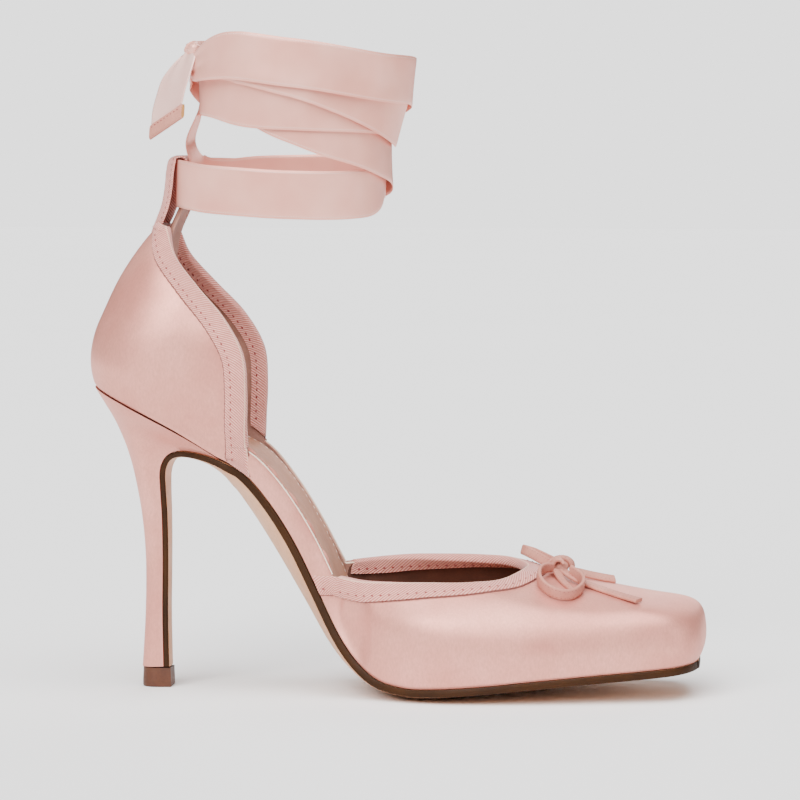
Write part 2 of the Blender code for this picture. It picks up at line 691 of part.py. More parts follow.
def build_counter_binding(finish):
    reach = 13.0
    halves = {}
    for side in (NEAR, FAR):
        def point_at(level, share, side=side):
            return counter_point(min(level, 1.0), min(share, 1.0), side)

        half = halves[side] = []
        for level in BAND_LEVELS + COUNTER_EDGE_LEVELS:
            heart = np.array([-72.0, 0.0, point_at(level, 1.0)[2]])
            aim_in = counter_aims(max(level, 0.01), side)[0]
            square = smooth_step(level / 0.12)
            aim = (aim_in[0] * reach * square, aim_in[1] * reach)
            scale = 1.0 + 0.2 * (1.0 - square)
            table = FLAT if level in BAND_LEVELS else FOLD
            inner = 0.5 + (INNER_LEG - 0.5) * smooth_step((level - 0.13) / 0.12)
            half.append(fold_ring(point_at, heart, (level, 1.0), aim, table, scale, inner))
        top = np.array([-72.0, 0.0, 158.0])
        corner, corner_scale = counter_aims(1.0, side)[1:]
        half.append(fold_ring(point_at, top, (1.0, 1.0), corner * reach, FOLD, corner_scale))
        for share in COUNTER_TOP_SHARES + (0.0,):
            half.append(fold_ring(point_at, top, (1.0, share), (-0.22, 0.0), FOLD, outer=2.4))
    return loft("counter_binding", halves[NEAR] + halves[FAR][-2::-1], finish)


# ---------------------------------------------------------------- heel tab
# Middle line of the tab that the ribbon runs through: up the outside, over and down
Tab = namedtuple("Tab", "x z")
TAB = [Tab(*row) for row in (
    (-83.6, 165.4), (-83.2, 169.2), (-82.6, 174.4), (-82.0, 181.0), (-81.5, 184.6),
    (-80.2, 186.8), (-77.8, 187.2), (-75.9, 186.0), (-75.0, 182.5), (-74.9, 177.0),
    (-75.2, 172.0), (-76.3, 168.2), (-78.3, 165.0), (-80.0, 162.0), (-81.3, 159.4),
)]
TAB_HALF = 9.5
TAB_CURVE = 2.4           # how far the tab's edges stand forward of its middle


def build_tab(finish):
    line = np.array([(row.x, row.z) for row in TAB])
    along = np.gradient(line, axis=0)
    along = along / np.linalg.norm(along, axis=1)[:, None]
    square = np.stack([-along[:, 1], along[:, 0]], axis=1) * 0.5 * BINDING_THICK
    outline = np.concatenate([line + square, (line - square)[::-1]])
    rings = []
    for share in (-1.0, -0.55, 0.0, 0.55, 1.0):
        shift = TAB_CURVE * share * share
        rings.append([np.array([x + shift, TAB_HALF * share, z]) for x, z in outline])
    return loft("heel_tab", rings, finish)


# ---------------------------------------------------------------- ribbon
RIBBON_WIDTH = 16.5
RIBBON_THICK = 0.8

# The ribbon from end to end. turn is the angle round the ankle in degrees, from the
# back (0, inside the heel tab) by the outer side: the negative turns go the other way.
# z is its middle, out how far it lies off the ankle, lean how far its top tips inwards.
Wrap = namedtuple("Wrap", "turn z out lean")
RIBBON = [Wrap(*row) for row in (
    (-692.0, 220.4, 5.8, 0.0),
    (-680.0, 221.6, 5.7, 3.0),
    (-660.0, 221.8, 5.6, 4.0),
    (-630.0, 219.2, 5.6, 4.0),
    (-580.0, 214.2, 5.6, 0.0),
    (-540.0, 213.0, 5.6, -6.0),
    (-510.0, 210.6, 5.6, -2.0),
    (-480.0, 205.0, 5.5, 0.0),
    (-462.0, 201.6, 5.4, 0.0),
    (-455.0, 200.1, 5.1, 0.0),
    (-447.0, 199.8, 2.9, 0.0),
    (-438.0, 201.6, 0.7, 0.0),
    (-425.0, 205.2, 0.3, 0.0),
    (-400.0, 208.0, 0.2, 0.0),
    (-360.0, 213.0, -0.5, 0.0),
    (-340.0, 213.0, 0.2, 0.0),
    (-310.0, 211.0, 0.6, 0.0),
    (-297.0, 208.4, 0.7, 0.0),
    (-285.0, 204.8, 0.6, 0.0),
    (-272.0, 200.8, 0.6, 0.0),
    (-252.0, 195.8, 0.8, 0.0),
    (-230.0, 192.3, 0.8, 0.0),
    (-200.0, 188.0, -0.2, 0.0),
    (-180.0, 186.0, -0.55, 0.0),
    (-150.0, 181.5, 1.0, 0.0),
    (-90.0, 177.5, 1.5, 0.0),
    (-60.0, 177.5, 3.0, 0.0),
    (-45.0, 177.8, 5.0, 0.0),
    (-30.0, 178.0, 7.4, 0.0),
    (-15.0, 177.8, 9.4, 0.0),
    (0.0, 177.6, 11.0, 0.0),
    (15.0, 177.4, 8.8, 0.0),
    (35.0, 176.0, 4.8, 0.0),
    (60.0, 175.0, 1.2, 0.0),
    (90.0, 174.0, 0.0, 0.0),
    (130.0, 174.0, 0.0, 0.0),
    (155.0, 175.4, -1.0, -3.0),
    (170.0, 178.6, -1.7, -5.0),
    (180.0, 180.6, -1.9, -5.0),
    (195.0, 180.6, -1.5, -3.0),
    (230.0, 179.8, 0.0, 0.0),
    (270.0, 179.0, 0.0, 0.0),
    (300.0, 178.6, 0.4, 0.0),
    (325.0, 177.6, 1.6, 0.0),
    (336.0, 177.9, 2.9, 0.0),
    (346.5, 179.0, 3.3, 0.0),
    (353.5, 181.4, 3.5, 0.0),
    (357.0, 185.2, 3.8, 0.0),
    (358.0, 189.2, 5.8, 0.0),
    (358.4, 192.4, 6.5, 0.0),
    (358.8, 196.0, 5.2, 0.0),
    (359.4, 200.0, 3.7, 0.0),
    (360.8, 204.4, 2.7, 0.0),
    (364.5, 207.6, 2.4, 0.0),
    (371.0, 209.2, 2.4, 0.0),
    (382.0, 209.4, 2.4, 0.0),
    (400.0, 208.6, 2.4, 0.0),
    (425.0, 205.5, 2.3, 0.0),
    (450.0, 204.5, 2.2, 0.0),
    (490.0, 203.6, 1.7, -2.0),
    (505.0, 203.2, 1.4, -5.0),
    (520.0, 203.0, 1.25, -10.0),
    (540.0, 203.0, 1.2, -15.0),
    (560.0, 206.0, 1.1, -10.0),
    (575.0, 209.4, 1.3, -3.0),
    (590.0, 213.0, 1.6, 0.0),
    (610.0, 217.0, 1.9, 0.0),
    (630.0, 218.4, 2.1, 0.0),
    (660.0, 217.8, 2.1, 0.0),
    (685.0, 215.4, 2.9, 0.0),
    (699.0, 213.4, 4.5, 0.0),
    (707.0, 212.8, 4.8, 0.0),
    (722.0, 212.3, 4.7, 0.0),
    (742.0, 212.4, 4.4, 0.0),
    (755.0, 214.6, 4.0, 2.0),
    (768.0, 219.0, 3.8, 4.0),
    (782.0, 220.4, 3.8, 4.0),
    (796.0, 218.6, 3.9, 4.0),
    (812.0, 215.6, 3.9, 2.0),
    (840.0, 209.0, 3.8, -2.0),
    (862.0, 203.8, 3.3, -5.0),
    (875.0, 201.2, 2.7, -9.0),
    (887.0, 199.4, 2.1, -12.0),
    (900.0, 198.2, 1.8, -15.0),
    (915.0, 200.0, 1.6, -12.0),
    (930.0, 203.6, 2.1, -6.0),
    (945.0, 207.6, 2.8, 0.0),
    (960.0, 212.0, 3.6, 0.0),
    (975.0, 216.4, 3.7, 0.0),
    (990.0, 218.2, 4.2, 0.0),
    (1005.0, 218.8, 4.7, 0.0),
    (1040.0, 219.0, 5.0, 0.0),
    (1060.0, 220.6, 6.0, 0.0),
    (1079.0, 221.8, 6.6, 0.0),
)]
FAR_TAIL = [Wrap(*row) for row in (
    (-3.0, 210.8, 6.2, 0.0),
    (-8.0, 210.5, 7.5, 0.0),
    (-14.0, 210.4, 8.0, 0.0),
    (-26.0, 210.4, 7.7, 0.0),
    (-38.0, 209.8, 7.0, 0.0),
    (-48.0, 208.8, 6.8, 0.0),
)]
# Where the ribbon's lower part is folded away behind it, and how much of it
Tuck = namedtuple("Tuck", "turn low")
TUCKS = [Tuck(*row) for row in (
    (690.0, 0.0), (703.0, 6.0), (722.0, 9.6), (744.0, 9.2), (757.0, 7.4), (768.0, 2.6),
    (782.0, 0.0))]
RIBBON_STEP = 5.6         # length of ribbon between its sections
GATHER = 60.0             # degrees of turn over which the ribbon gathers into the knot


def ankle_point(turn, z, out):
    """Point round the ankle, whose section is a superellipse that shifts with height."""
    rise = float(np.clip((z - 175.0) / 25.0, 0.0, 1.0))
    angle = math.radians(turn)
    cosine, sine = math.cos(angle), math.sin(angle)
    back = math.copysign(abs(cosine) ** (2.0 / 2.2), cosine)
    aside = math.copysign(abs(sine) ** (2.0 / 2.2), sine)
    centre, reach = -36.0 + 1.7 * rise, 32.0 + 1.3 * rise
    return np.array([centre - (reach + out) * back, -(27.5 + out) * aside, z])


def wrapped(table, turns):
    """Middle line and across directions of a ribbon wound by a table."""
    line = {name: column_of(table, "turn", name) for name in Wrap._fields[1:]}
    if table[0].turn > table[-1].turn:
        rows = table[::-1]
        line = {name: column_of(rows, "turn", name) for name in Wrap._fields[1:]}
    middle = np.array([ankle_point(t, line["z"](t), line["out"](t)) for t in turns])
    outer = np.array([ankle_point(t, line["z"](t), line["out"](t) + 1.0) for t in turns])
    along = np.gradient(middle, axis=0)
    across = []
    for t, tangent, away in zip(turns, along, outer - middle):
        tangent = tangent / np.linalg.norm(tangent)
        away = away - tangent * (away @ tangent)
        away = away / np.linalg.norm(away)
        lean = math.radians(line["lean"](t))
        across.append(np.cross(away, tangent) * math.cos(lean) - away * math.sin(lean))
    return middle, across


def strip(name, middle, across, widths, thick, finish):
    """Flat strip along a line: across is its unit width direction at each point."""
    along = np.gradient(np.asarray(middle, float), axis=0)
    rings = []
    for centre, side, tangent, width, depth in zip(middle, across, along, widths, thick):
        side = np.asarray(side, float) / np.linalg.norm(side)
        face = np.cross(tangent, side)
        face = face / np.linalg.norm(face)
        half, deep = side * width * 0.5, face * depth * 0.5
        rings.append([centre + half + deep, centre - half + deep,
                      centre - half - deep, centre + half - deep])
    return loft(name, rings, finish)


def build_ribbon(finish):
    first, last = RIBBON[0].turn, RIBBON[-1].turn
    fine = np.linspace(first, last, 4000)
    steps = np.linalg.norm(np.diff(wrapped(RIBBON, fine)[0], axis=0), axis=1)
    length = np.concatenate([[0.0], np.cumsum(steps)])
    count = round(length[-1] / RIBBON_STEP) + 1
    turns = np.interp(np.linspace(0.0, length[-1], count), length, fine)
    middle, across = wrapped(RIBBON, turns)
    gathered = round_end(np.minimum(turns - first, last - turns) / GATHER, 2.0)
    tucked = np.maximum(column_of(TUCKS, "turn", "low")(turns), 0.0)
    middle = middle + np.array(across) * 0.5 * tucked[:, None]
    widths = 6.5 + (RIBBON_WIDTH - 6.5) * gathered - tucked
    thick = 2.0 + (RIBBON_THICK - 2.0) * gathered
    return strip("ankle_ribbon", middle, across, widths, thick, finish)


# Ribbon knot: rings along y, each with its middle and its half sizes in x and z
Lump = namedtuple("Lump", "y x z half_x half_z")
RIBBON_KNOT = [Lump(*row) for row in (
    (-0.5, -73.6, 224.2, 1.3, 1.6),
    (-1.5, -73.3, 224.2, 2.3, 2.5),
    (-4.5, -72.5, 224.2, 3.1, 3.0),
    (-8.0, -71.6, 224.3, 3.3, 3.0),
    (-11.5, -70.9, 224.3, 3.1, 3.0),
    (-14.2, -70.3, 224.2, 2.3, 2.5),
    (-15.2, -70.0, 224.2, 1.3, 1.6),
)]
BOW_KNOT = [Lump(*row) for row in (
    (3.6, 56.6, 44.4, 1.8, 1.2),
    (2.6, 56.4, 44.6, 3.2, 2.2),
    (0.0, 56.2, 44.9, 4.2, 2.9),
    (-2.4, 56.2, 44.8, 4.2, 2.9),
    (-4.4, 56.3, 44.4, 3.2, 2.2),
    (-5.2, 56.4, 44.1, 1.8, 1.2),
)]


def build_lump(name, table, finish, sides=12):
    rings = []
    for row in table:
        ring = []
        for k in range(sides):
            angle = 2.0 * math.pi * (k + 0.5) / sides
            ring.append(np.array([row.x + row.half_x * math.cos(angle), row.y,
                                  row.z + row.half_z * math.sin(angle)]))
        rings.append(ring)
    return loft(name, rings, finish)


# A tail or loop by its middle line, the direction across it and its width
Bend = namedtuple("Bend", "x y z across_x across_y across_z width")
NEAR_TAIL = [Bend(*row) for row in (
    (-76.2, -10.6, 222.8, 0.42, -0.60, 0.68, 7.0),
    (-77.0, -12.0, 218.2, 0.58, -0.62, 0.53, 14.0),
    (-78.3, -13.0, 212.4, 0.64, -0.62, 0.46, 16.8),
    (-79.4, -13.3, 206.6, 0.71, -0.56, 0.43, 16.8),
    (-79.8, -13.4, 201.6, 0.73, -0.53, 0.43, 16.8),
)]
TIP_LENGTH = 4.8
TIP_THICK = 2.0


def build_bend(name, table, thick, finish):
    middle = [np.array([row.x, row.y, row.z]) for row in table]
    across = [np.array([row.across_x, row.across_y, row.across_z]) for row in table]
    return strip(name, middle, across, [row.width for row in table],
                 [thick] * len(table), finish)


def build_tip_piece(name, end, drop, across, width, finish):
    """Folded leather tip that carries on from the end of a ribbon's tail."""
    drop = drop / np.linalg.norm(drop)
    middle = [end + drop * reach for reach in (GAP, 0.5 * TIP_LENGTH, GAP + TIP_LENGTH)]
    return strip(name, middle, [across] * 3, [width] * 3, [TIP_THICK] * 3, finish)


def build_tails(ribbon_finish, tip_finish):
    build_bend("tail_near", NEAR_TAIL, RIBBON_THICK, ribbon_finish)
    end = NEAR_TAIL[-1]
    build_tip_piece("tail_tip_near", np.array([end.x, end.y, end.z]),
                    np.array([-0.05, -0.12, -1.0]),
                    np.array([end.across_x, end.across_y, end.across_z]), 17.6, tip_finish)
    turns = np.linspace(FAR_TAIL[0].turn, FAR_TAIL[-1].turn, 7)
    middle, across = wrapped(FAR_TAIL, turns)
    grown = smooth_step(np.linspace(0.0, 1.6, 7))
    strip("tail_far", middle, across, 8.0 + (RIBBON_WIDTH - 8.0) * grown,
          [RIBBON_THICK] * 7, ribbon_finish)
    build_tip_piece("tail_tip_far", middle[-1], middle[-1] - middle[-2], across[-1],
                    17.4, tip_finish)


# ---------------------------------------------------------------- bow
BOW_WIDTH = 4.2
BOW_THICK = 1.1
BOW_FAR_LOOP = [Bend(*row) for row in (
    (53.6, 4.4, 44.9, 0.10, 0.35, 0.93, 3.6),
    (50.6, 7.4, 46.1, 0.16, 0.40, 0.90, 3.8),
    (46.6, 11.6, 47.7, 0.20, 0.42, 0.88, 3.8),
    (43.6, 15.6, 48.6, 0.22, 0.42, 0.88, 3.8),
    (42.8, 18.0, 48.6, 0.22, 0.42, 0.88, 3.8),
    (44.2, 19.4, 48.0, 0.22, 0.42, 0.88, 3.8),
    (47.2, 18.4, 47.2, 0.20, 0.42, 0.88, 3.8),
    (51.4, 13.6, 46.0, 0.18, 0.40, 0.90, 3.8),
    (55.2, 8.2, 45.0, 0.12, 0.38, 0.91, 3.8),
    (57.0, 4.6, 44.6, 0.10, 0.35, 0.93, 3.6),
)]

# Near loop and tails of the bow in plan, with how far the strip's middle stands off the
# vamp. The loop stands on its edge, and the tails lie flat.
Lie = namedtuple("Lie", "x y lift")
BOW_NEAR_LOOP = [Lie(*row) for row in (
    (53.4, -6.2, 3.3), (50.7, -9.4, 3.2), (49.5, -13.8, 3.0), (50.4, -18.4, 2.6),
    (53.4, -22.4, 2.5), (57.8, -24.2, 2.5), (62.0, -22.8, 2.5), (64.6, -18.6, 2.6),
    (64.6, -13.8, 2.8), (62.6, -9.4, 3.2), (59.8, -6.4, 3.8))]
BOW_NEAR_TAIL = [Lie(*row) for row in (
    (61.0, -3.6, 1.4), (66.2, -6.8, 1.0), (72.0, -11.0, 0.8), (78.4, -15.6, 0.8),
    (84.6, -19.6, 1.2))]
BOW_FAR_TAIL = [Lie(*row) for row in (
    (60.8, 2.6, 1.6), (65.2, 5.4, 1.1), (70.0, 7.8, 0.9), (74.6, 9.6, 0.9))]


def vamp_face():
    sheet = upper_sheet()
    return BVHTree.FromPolygons([tuple(v) for v in sheet.vertices], sheet.faces)


def build_lying(name, table, face, finish, on_edge=False):
    """Strip that lies along the vamp, or stands on its edge there."""
    middle, normals = [], []
    for row in table:
        hit, normal, _, _ = face.ray_cast((row.x, row.y, 90.0), (0.0, 0.0, -1.0))
        normal = np.array(normal) * (1.0 if normal[2] > 0.0 else -1.0)
        middle.append(np.array(hit) + normal * row.lift)
        normals.append(normal)
    along = np.gradient(np.array(middle), axis=0)
    across = [np.cross(normal, tangent) for normal, tangent in zip(normals, along)]
    widths = [3.4] + [BOW_WIDTH] * (len(table) - 1)
    if on_edge:
        across = normals
        widths[-1] = 3.4
    return strip(name, middle, across, widths, [BOW_THICK] * len(table), finish)


def build_bow(finish):
    build_lump("bow_knot", BOW_KNOT, finish)
    build_bend("bow_loop_far", BOW_FAR_LOOP, BOW_THICK, finish)
    face = vamp_face()
    build_lying("bow_loop_near", BOW_NEAR_LOOP, face, finish, on_edge=True)
    build_lying("bow_tail_near", BOW_NEAR_TAIL, face, finish)
    build_lying("bow_tail_far", BOW_FAR_TAIL, face, finish)


SHOE = None


def stand_on_origin():
    """Shift the shoe so that its box stands on the origin."""
    points = np.array([v.co for made in SHOE.objects for v in made.data.vertices])
    low, high = points.min(axis=0), points.max(axis=0)
    middle = (low + high) / 2.0
    for made in SHOE.objects:
        for vertex in made.data.vertices:
            vertex.co.x -= middle[0]
            vertex.co.y -= middle[1]
            vertex.co.z -= low[2]


def main():
    global SHOE
    for old in list(bpy.data.objects):
        bpy.data.objects.remove(old)
    SHOE = bpy.data.collections.new("stiletto_shoe")
    bpy.context.scene.collection.children.link(SHOE)
    satin = material("satin", (0.80, 0.58, 0.53), 0.35)
    sole_leather = material("sole_leather", (0.50, 0.33, 0.20), 0.5)
    lining = material("lining_leather", (0.72, 0.55, 0.44), 0.55)
    tip_rubber = material("tip_rubber", (0.22, 0.12, 0.06), 0.6)
    grosgrain = material("grosgrain", (0.80, 0.56, 0.52), 0.6)
    ribbon = material("ribbon_satin", (0.84, 0.62, 0.57), 0.4)
    trim = material("trim_leather", (0.72, 0.48, 0.43), 0.5)
    build_upper(satin)
    build_outsole(sole_leather)
    build_insole(lining)
    build_heel(satin)
    build_tip(tip_rubber)
    build_vamp_binding(grosgrain)
    build_counter_binding(grosgrain)
    build_tab(grosgrain)
    build_ribbon(ribbon)
    build_lump("ribbon_knot", RIBBON_KNOT, ribbon)
    build_tails(ribbon, trim)
    build_bow(trim)
    stand_on_origin()


main()
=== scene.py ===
"""Looks of a satin stiletto with a square toe, a bow and a wound ankle ribbon, dressed on
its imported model. Shapes are worked out in millimetres in the pattern's own frame, and Net
puts them into the model's frame in metres. +X is the toe, +Y the inner side, +Z up."""

from collections import namedtuple
import json
import math

import bmesh
import bpy
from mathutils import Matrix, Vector
from mathutils.bvhtree import BVHTree
import numpy as np

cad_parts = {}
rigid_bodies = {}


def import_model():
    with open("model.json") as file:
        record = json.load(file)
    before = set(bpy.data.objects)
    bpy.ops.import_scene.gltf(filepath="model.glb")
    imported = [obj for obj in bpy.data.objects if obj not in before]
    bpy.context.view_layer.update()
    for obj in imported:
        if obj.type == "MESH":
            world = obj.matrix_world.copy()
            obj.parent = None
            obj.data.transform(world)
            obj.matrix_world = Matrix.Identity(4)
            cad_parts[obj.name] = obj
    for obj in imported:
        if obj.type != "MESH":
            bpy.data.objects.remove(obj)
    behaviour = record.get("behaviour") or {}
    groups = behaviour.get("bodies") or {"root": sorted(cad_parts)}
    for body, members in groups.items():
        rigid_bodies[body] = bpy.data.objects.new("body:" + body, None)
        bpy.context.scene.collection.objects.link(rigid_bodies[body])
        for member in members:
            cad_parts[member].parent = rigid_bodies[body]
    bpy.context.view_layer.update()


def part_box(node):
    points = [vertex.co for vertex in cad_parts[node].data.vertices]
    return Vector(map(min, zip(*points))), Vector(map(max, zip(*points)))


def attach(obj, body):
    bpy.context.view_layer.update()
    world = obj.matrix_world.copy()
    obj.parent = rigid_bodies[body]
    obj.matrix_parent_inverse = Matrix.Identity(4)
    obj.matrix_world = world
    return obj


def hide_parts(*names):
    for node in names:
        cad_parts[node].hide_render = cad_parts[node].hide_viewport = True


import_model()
for old in list(bpy.data.objects):
    if old.type in ("CAMERA", "LIGHT"):
        bpy.data.objects.remove(old)

MM = 0.001
TIP_LOW, TIP_HIGH = (np.array(corner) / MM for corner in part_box("heel_tip"))
TIP_BACK_X = -91.4        # back of the heel tip in the pattern's frame
SHIFT = np.array([TIP_LOW[0] - TIP_BACK_X, 0.5 * (TIP_LOW[1] + TIP_HIGH[1]), 0.0])


def at(x, y, z):
    """A place in the pattern, in metres in the model's frame."""
    return Vector((np.array([x, y, z]) + SHIFT) * MM)


def linked(name, data):
    made = bpy.data.objects.new(name, data)
    bpy.context.scene.collection.objects.link(made)
    return made


# ---------------------------------------------------------------- camera, light, world
CAMERA_YAW, CAMERA_LIFT, CAMERA_AWAY = math.radians(6.0), math.radians(4.0), 1.4
LOOK_AT = at(0.0, 0.0, 101.85)
WORLD_LIGHT, WORLD_SEEN = 0.07, 2.15    # the surroundings as a light, and as they are seen


def aim(made, place, target):
    made.location = place
    made.rotation_euler = (target - made.location).to_track_quat("-Z", "Y").to_euler()


def build_camera():
    data = bpy.data.cameras.new("camera")
    data.lens, data.sensor_width = 180.0, 36.0
    data.clip_start, data.clip_end = 0.05, 30.0
    made = linked("camera", data)
    way = Vector((math.sin(CAMERA_YAW) * math.cos(CAMERA_LIFT),
                  -math.cos(CAMERA_YAW) * math.cos(CAMERA_LIFT), math.sin(CAMERA_LIFT)))
    aim(made, LOOK_AT + CAMERA_AWAY * way, LOOK_AT)
    bpy.context.scene.camera = made


def build_lights():
    """Broad, even lights from one direction each, so that the floor is lit alike all over."""
    for name, way, strength, spread in (("top", (0.05, -0.3, 1.0), 4.6, 60.0),
                                        ("key", (-0.35, -1.0, 0.7), 4.0, 38.0),
                                        ("side", (1.0, -0.25, 0.3), 0.5, 24.0),
                                        ("back", (0.2, 1.0, 0.5), 1.2, 40.0)):
        data = bpy.data.lights.new(name, "SUN")
        data.energy, data.angle = strength, math.radians(spread)
        aim(linked(name, data), Vector(way), Vector())


def build_world():
    """Even white surroundings, brighter where they are seen than where they light."""
    world = bpy.data.worlds.new("studio")
    bpy.context.scene.world = world
    world.use_nodes = True
    nodes, links = world.node_tree.nodes, world.node_tree.links
    path, level = nodes.new("ShaderNodeLightPath"), nodes.new("ShaderNodeMapRange")
    level.inputs["To Min"].default_value = WORLD_LIGHT
    level.inputs["To Max"].default_value = WORLD_SEEN
    links.new(path.outputs["Is Camera Ray"], level.inputs["Value"])
    links.new(level.outputs[0], nodes["Background"].inputs["Strength"])
    nodes["Background"].inputs["Color"].default_value = (1.0, 1.0, 1.0, 1.0)


# ---------------------------------------------------------------- the pattern's tables
def table(columns, *rows, defaults=()):
    """Rows of numbers with named columns."""
    kind = namedtuple("Row", columns, defaults=defaults)
    return [kind(*row) for row in rows]


NEAR, FAR = -1.0, 1.0     # the outer and the inner side of the foot, as signs of y
SIDES = (NEAR, FAR)

# Driving dimensions
HEEL_BACK_X = -107.7      # back of the seat on the feather line
TOE_X = 105.0             # front of the toe on the feather line
SEAT_ROUND = 26.0         # length over which the seat rounds off at the back
TOE_ROUND = 13.0          # length over which the square toe rounds off
COUNTER_EDGE_X = -51.3    # front edge of the counter on the feather line
VAMP_REAR_X = -27.3       # rear corner of the vamp on the feather line
BAND_HEIGHT = 7.0         # satin band along the open waist
WALL = 1.4                # satin and lining together
GAP = 0.3                 # clearance between pieces that touch
BINDING_WIDTH = 6.6
BINDING_THICK = 0.7
INNER_LEG = 6.0           # width of a binding inside the shoe
SOLE_EDGE = 2.6           # thickness of the outsole at its edge

# The feather line, where upper and sole meet: height and half widths before the ends
# are rounded off. crown is how far the last's bottom bulges down between its edges.
FEATHER = table("x z near far crown",
    (-107.7, 106.7, 25, 25, 0), (-94.8, 101.2, 25, 25, 0), (-78.5, 93.4, 24.8, 24.8, 0),
    (-63.4, 84.4, 23.2, 23, 0), (-51.3, 76.8, 21.2, 20.6, 0), (-43.9, 67.9, 20, 19, 1.3),
    (-34.5, 53, 19.4, 18, 2.6), (-26.4, 37, 20.8, 18.8, 2.8), (-17, 19.2, 24.2, 22.6, 2.6),
    (-7, 8.8, 29.5, 28.4, 2.4), (4, 5.4, 34.6, 33.6, 2.2), (16, 5.4, 37.8, 37.2, 2),
    (30, 6.4, 38.4, 38.6, 1.8), (48, 8.2, 37, 38, 1.6), (68, 10, 33.6, 35.2, 1.2),
    (86, 11.4, 29.4, 31.2, 0.8), (98, 12.4, 26, 28.2, 0.4), (105, 13, 24, 26.4, 0.2))

# Levels of the counter, from the feather line to its top. Each is a U seen from above:
# its back point, its front edge, its widest and its front half width, and the length
# over which it rounds off at the back.
COUNTER = table("share back_x back_z edge_x edge_z width front round",
    (0, -107.7, 106.7, -51.3, 76.8, 25, 21.2, 26),
    (0.08, -108.9, 111.5, -51.5, 82.6, 27.2, 22.8, 27),
    (0.18, -109.2, 117, -51.6, 92, 28.6, 25.2, 28),
    (0.32, -107.6, 125.5, -51.2, 106, 28.8, 27, 29),
    (0.46, -104, 134, -52.4, 119, 27.6, 27.2, 29),
    (0.6, -99.6, 143.2, -59, 131, 25, 25.2, 27),
    (0.74, -94.8, 151, -68.6, 141.6, 21.6, 21.6, 21),
    (0.87, -89.9, 157.6, -77, 151.8, 17.4, 17, 14.5),
    (1, -84.8, 163.4, -80.7, 162, 14, 12.6, 8))

# Columns of the vamp, from its rear corner (turn 0) round to the middle of the toe
# (turn 1), each from the feather line up to the topline. turn and top say how far round
# its foot and its top lie, as shares of the lengths of those two lines. The other numbers
# shape the column: out and up from its foot for the bulge, the wall and the shoulder,
# then the last stretch's length as a share of the span, and its rise.
VAMP = table("turn top bulge_out bulge_up wall_out wall_up shoulder_out shoulder_up crest crest_rise",
    (0, 0, 0.3, 1, 0.5, 2, 0.4, 2.6, 0.3, -0.8),
    (0.12, 0.09, 1, 3.5, 1.4, 8.5, 1, 13, 0.3, -3),
    (0.24, 0.21, 1.8, 6, 2.4, 15, 1.2, 23, 0.35, -4.5),
    (0.34, 0.35, 2.2, 6.5, 3, 16.5, 1, 26, 0.38, -4.6),
    (0.46, 0.5, 2.4, 6.5, 2.8, 15.5, -2.2, 24.6, 0.41, -4.2),
    (0.6, 0.64, 2.4, 6, 2.2, 13.5, -4.8, 22, 0.46, -4.6),
    (0.75, 0.77, 2.4, 5, 1.8, 12.5, -5.2, 20.4, 0.53, -6.8),
    (0.87, 0.88, 2.4, 4.5, 1.8, 12.6, -4.2, 20.6, 0.6, -8.3),
    (1, 1, 2.6, 4, 2.8, 14, -0.6, 23.1, 0.66, -8))

# Topline of the vamp on each side: height and half width before the throat is rounded
TOPLINE = table("x near_z far_z near far",
    (-21.2, 42, 42.6, 20.6, 18.6), (-12, 40.4, 43.2, 24.4, 23.2), (0, 40.1, 44.1, 27, 26),
    (14, 40.1, 44.3, 27.2, 26.6), (28, 40.1, 44.3, 26, 25.6), (38, 40.7, 44.2, 24.5, 24.5),
    (45, 43.2, 43.2, 24, 24))
TOP_REAR_X, THROAT_X = TOPLINE[0].x, TOPLINE[-1].x
THROAT_ROUND = 26.0

# The outsole behind the waist: it leaves the feather line under the heel's front lip,
# turns down at the breast and runs down the heel's front. x and z are its inner face,
# tilt the angle of that face's normal from upright, half its half width, edge its
# thickness at the edge and dome how far its middle hangs below that.
BREAST = table("x z tilt half edge dome",
    (-57, 80.1, 31, 22, 2.5, 4.4), (-61, 81.9, 22, 21.3, 2.3, 3.4),
    (-66, 83.4, 13, 19.6, 2.1, 2.2), (-71.5, 84.3, 4, 17, 2, 1.4),
    (-76.5, 84.2, -12, 13.8, 1.9, 0.9), (-80.4, 82.6, -38, 10.8, 1.8, 0.6),
    (-82.7, 79.8, -62, 8.8, 1.8, 0.4), (-83.8, 76, -82, 7.4, 1.8, 0.3),
    (-83.8, 70, -92, 6.2, 1.8, 0.3), (-83.4, 60, -91, 5.2, 1.8, 0.3),
    (-83.3, 45, -89, 4.5, 1.8, 0.3), (-83.5, 26, -89, 4.3, 1.8, 0.3),
    (-83.2, 7.3, -90, 4.3, 1.8, 0.2))

# Rows of the heel, one behind each row of the breast but the first: its back point,
# its widest, the length over which the back is rounded, and how far it arches. front is
# the x of the tip's front edge.
HEEL = table("x z width round arch",
    (-107.7, 106.3, 24.9, 26, 1.5), (-107, 105, 24.4, 26, 1.4), (-105.6, 102.7, 23.2, 25, 1.2),
    (-103.8, 99.7, 21, 23.5, 1), (-101.2, 95.3, 17.8, 20.5, 0.8), (-98.6, 89.7, 14.4, 16.5, 0.4),
    (-96.3, 83.6, 11.4, 12.8, 0.2), (-94, 75, 8.8, 10, 0), (-91.5, 61, 6.4, 7.2, 0),
    (-90.2, 45.2, 5.1, 5.6, 0), (-90.4, 26, 4.8, 5.2, 0), (-91.5, 7.1, 4.8, 5.2, 0))
TIP = table("x z width round arch front",
    (-91.2, 6.8, 4.9, 5.2, 0, -80.9), (-91.4, 1, 5, 5.3, 0, -80.7), (-91.1, 0, 4.7, 5, 0, -81))
TIP_FRONT_HALF = 4.4

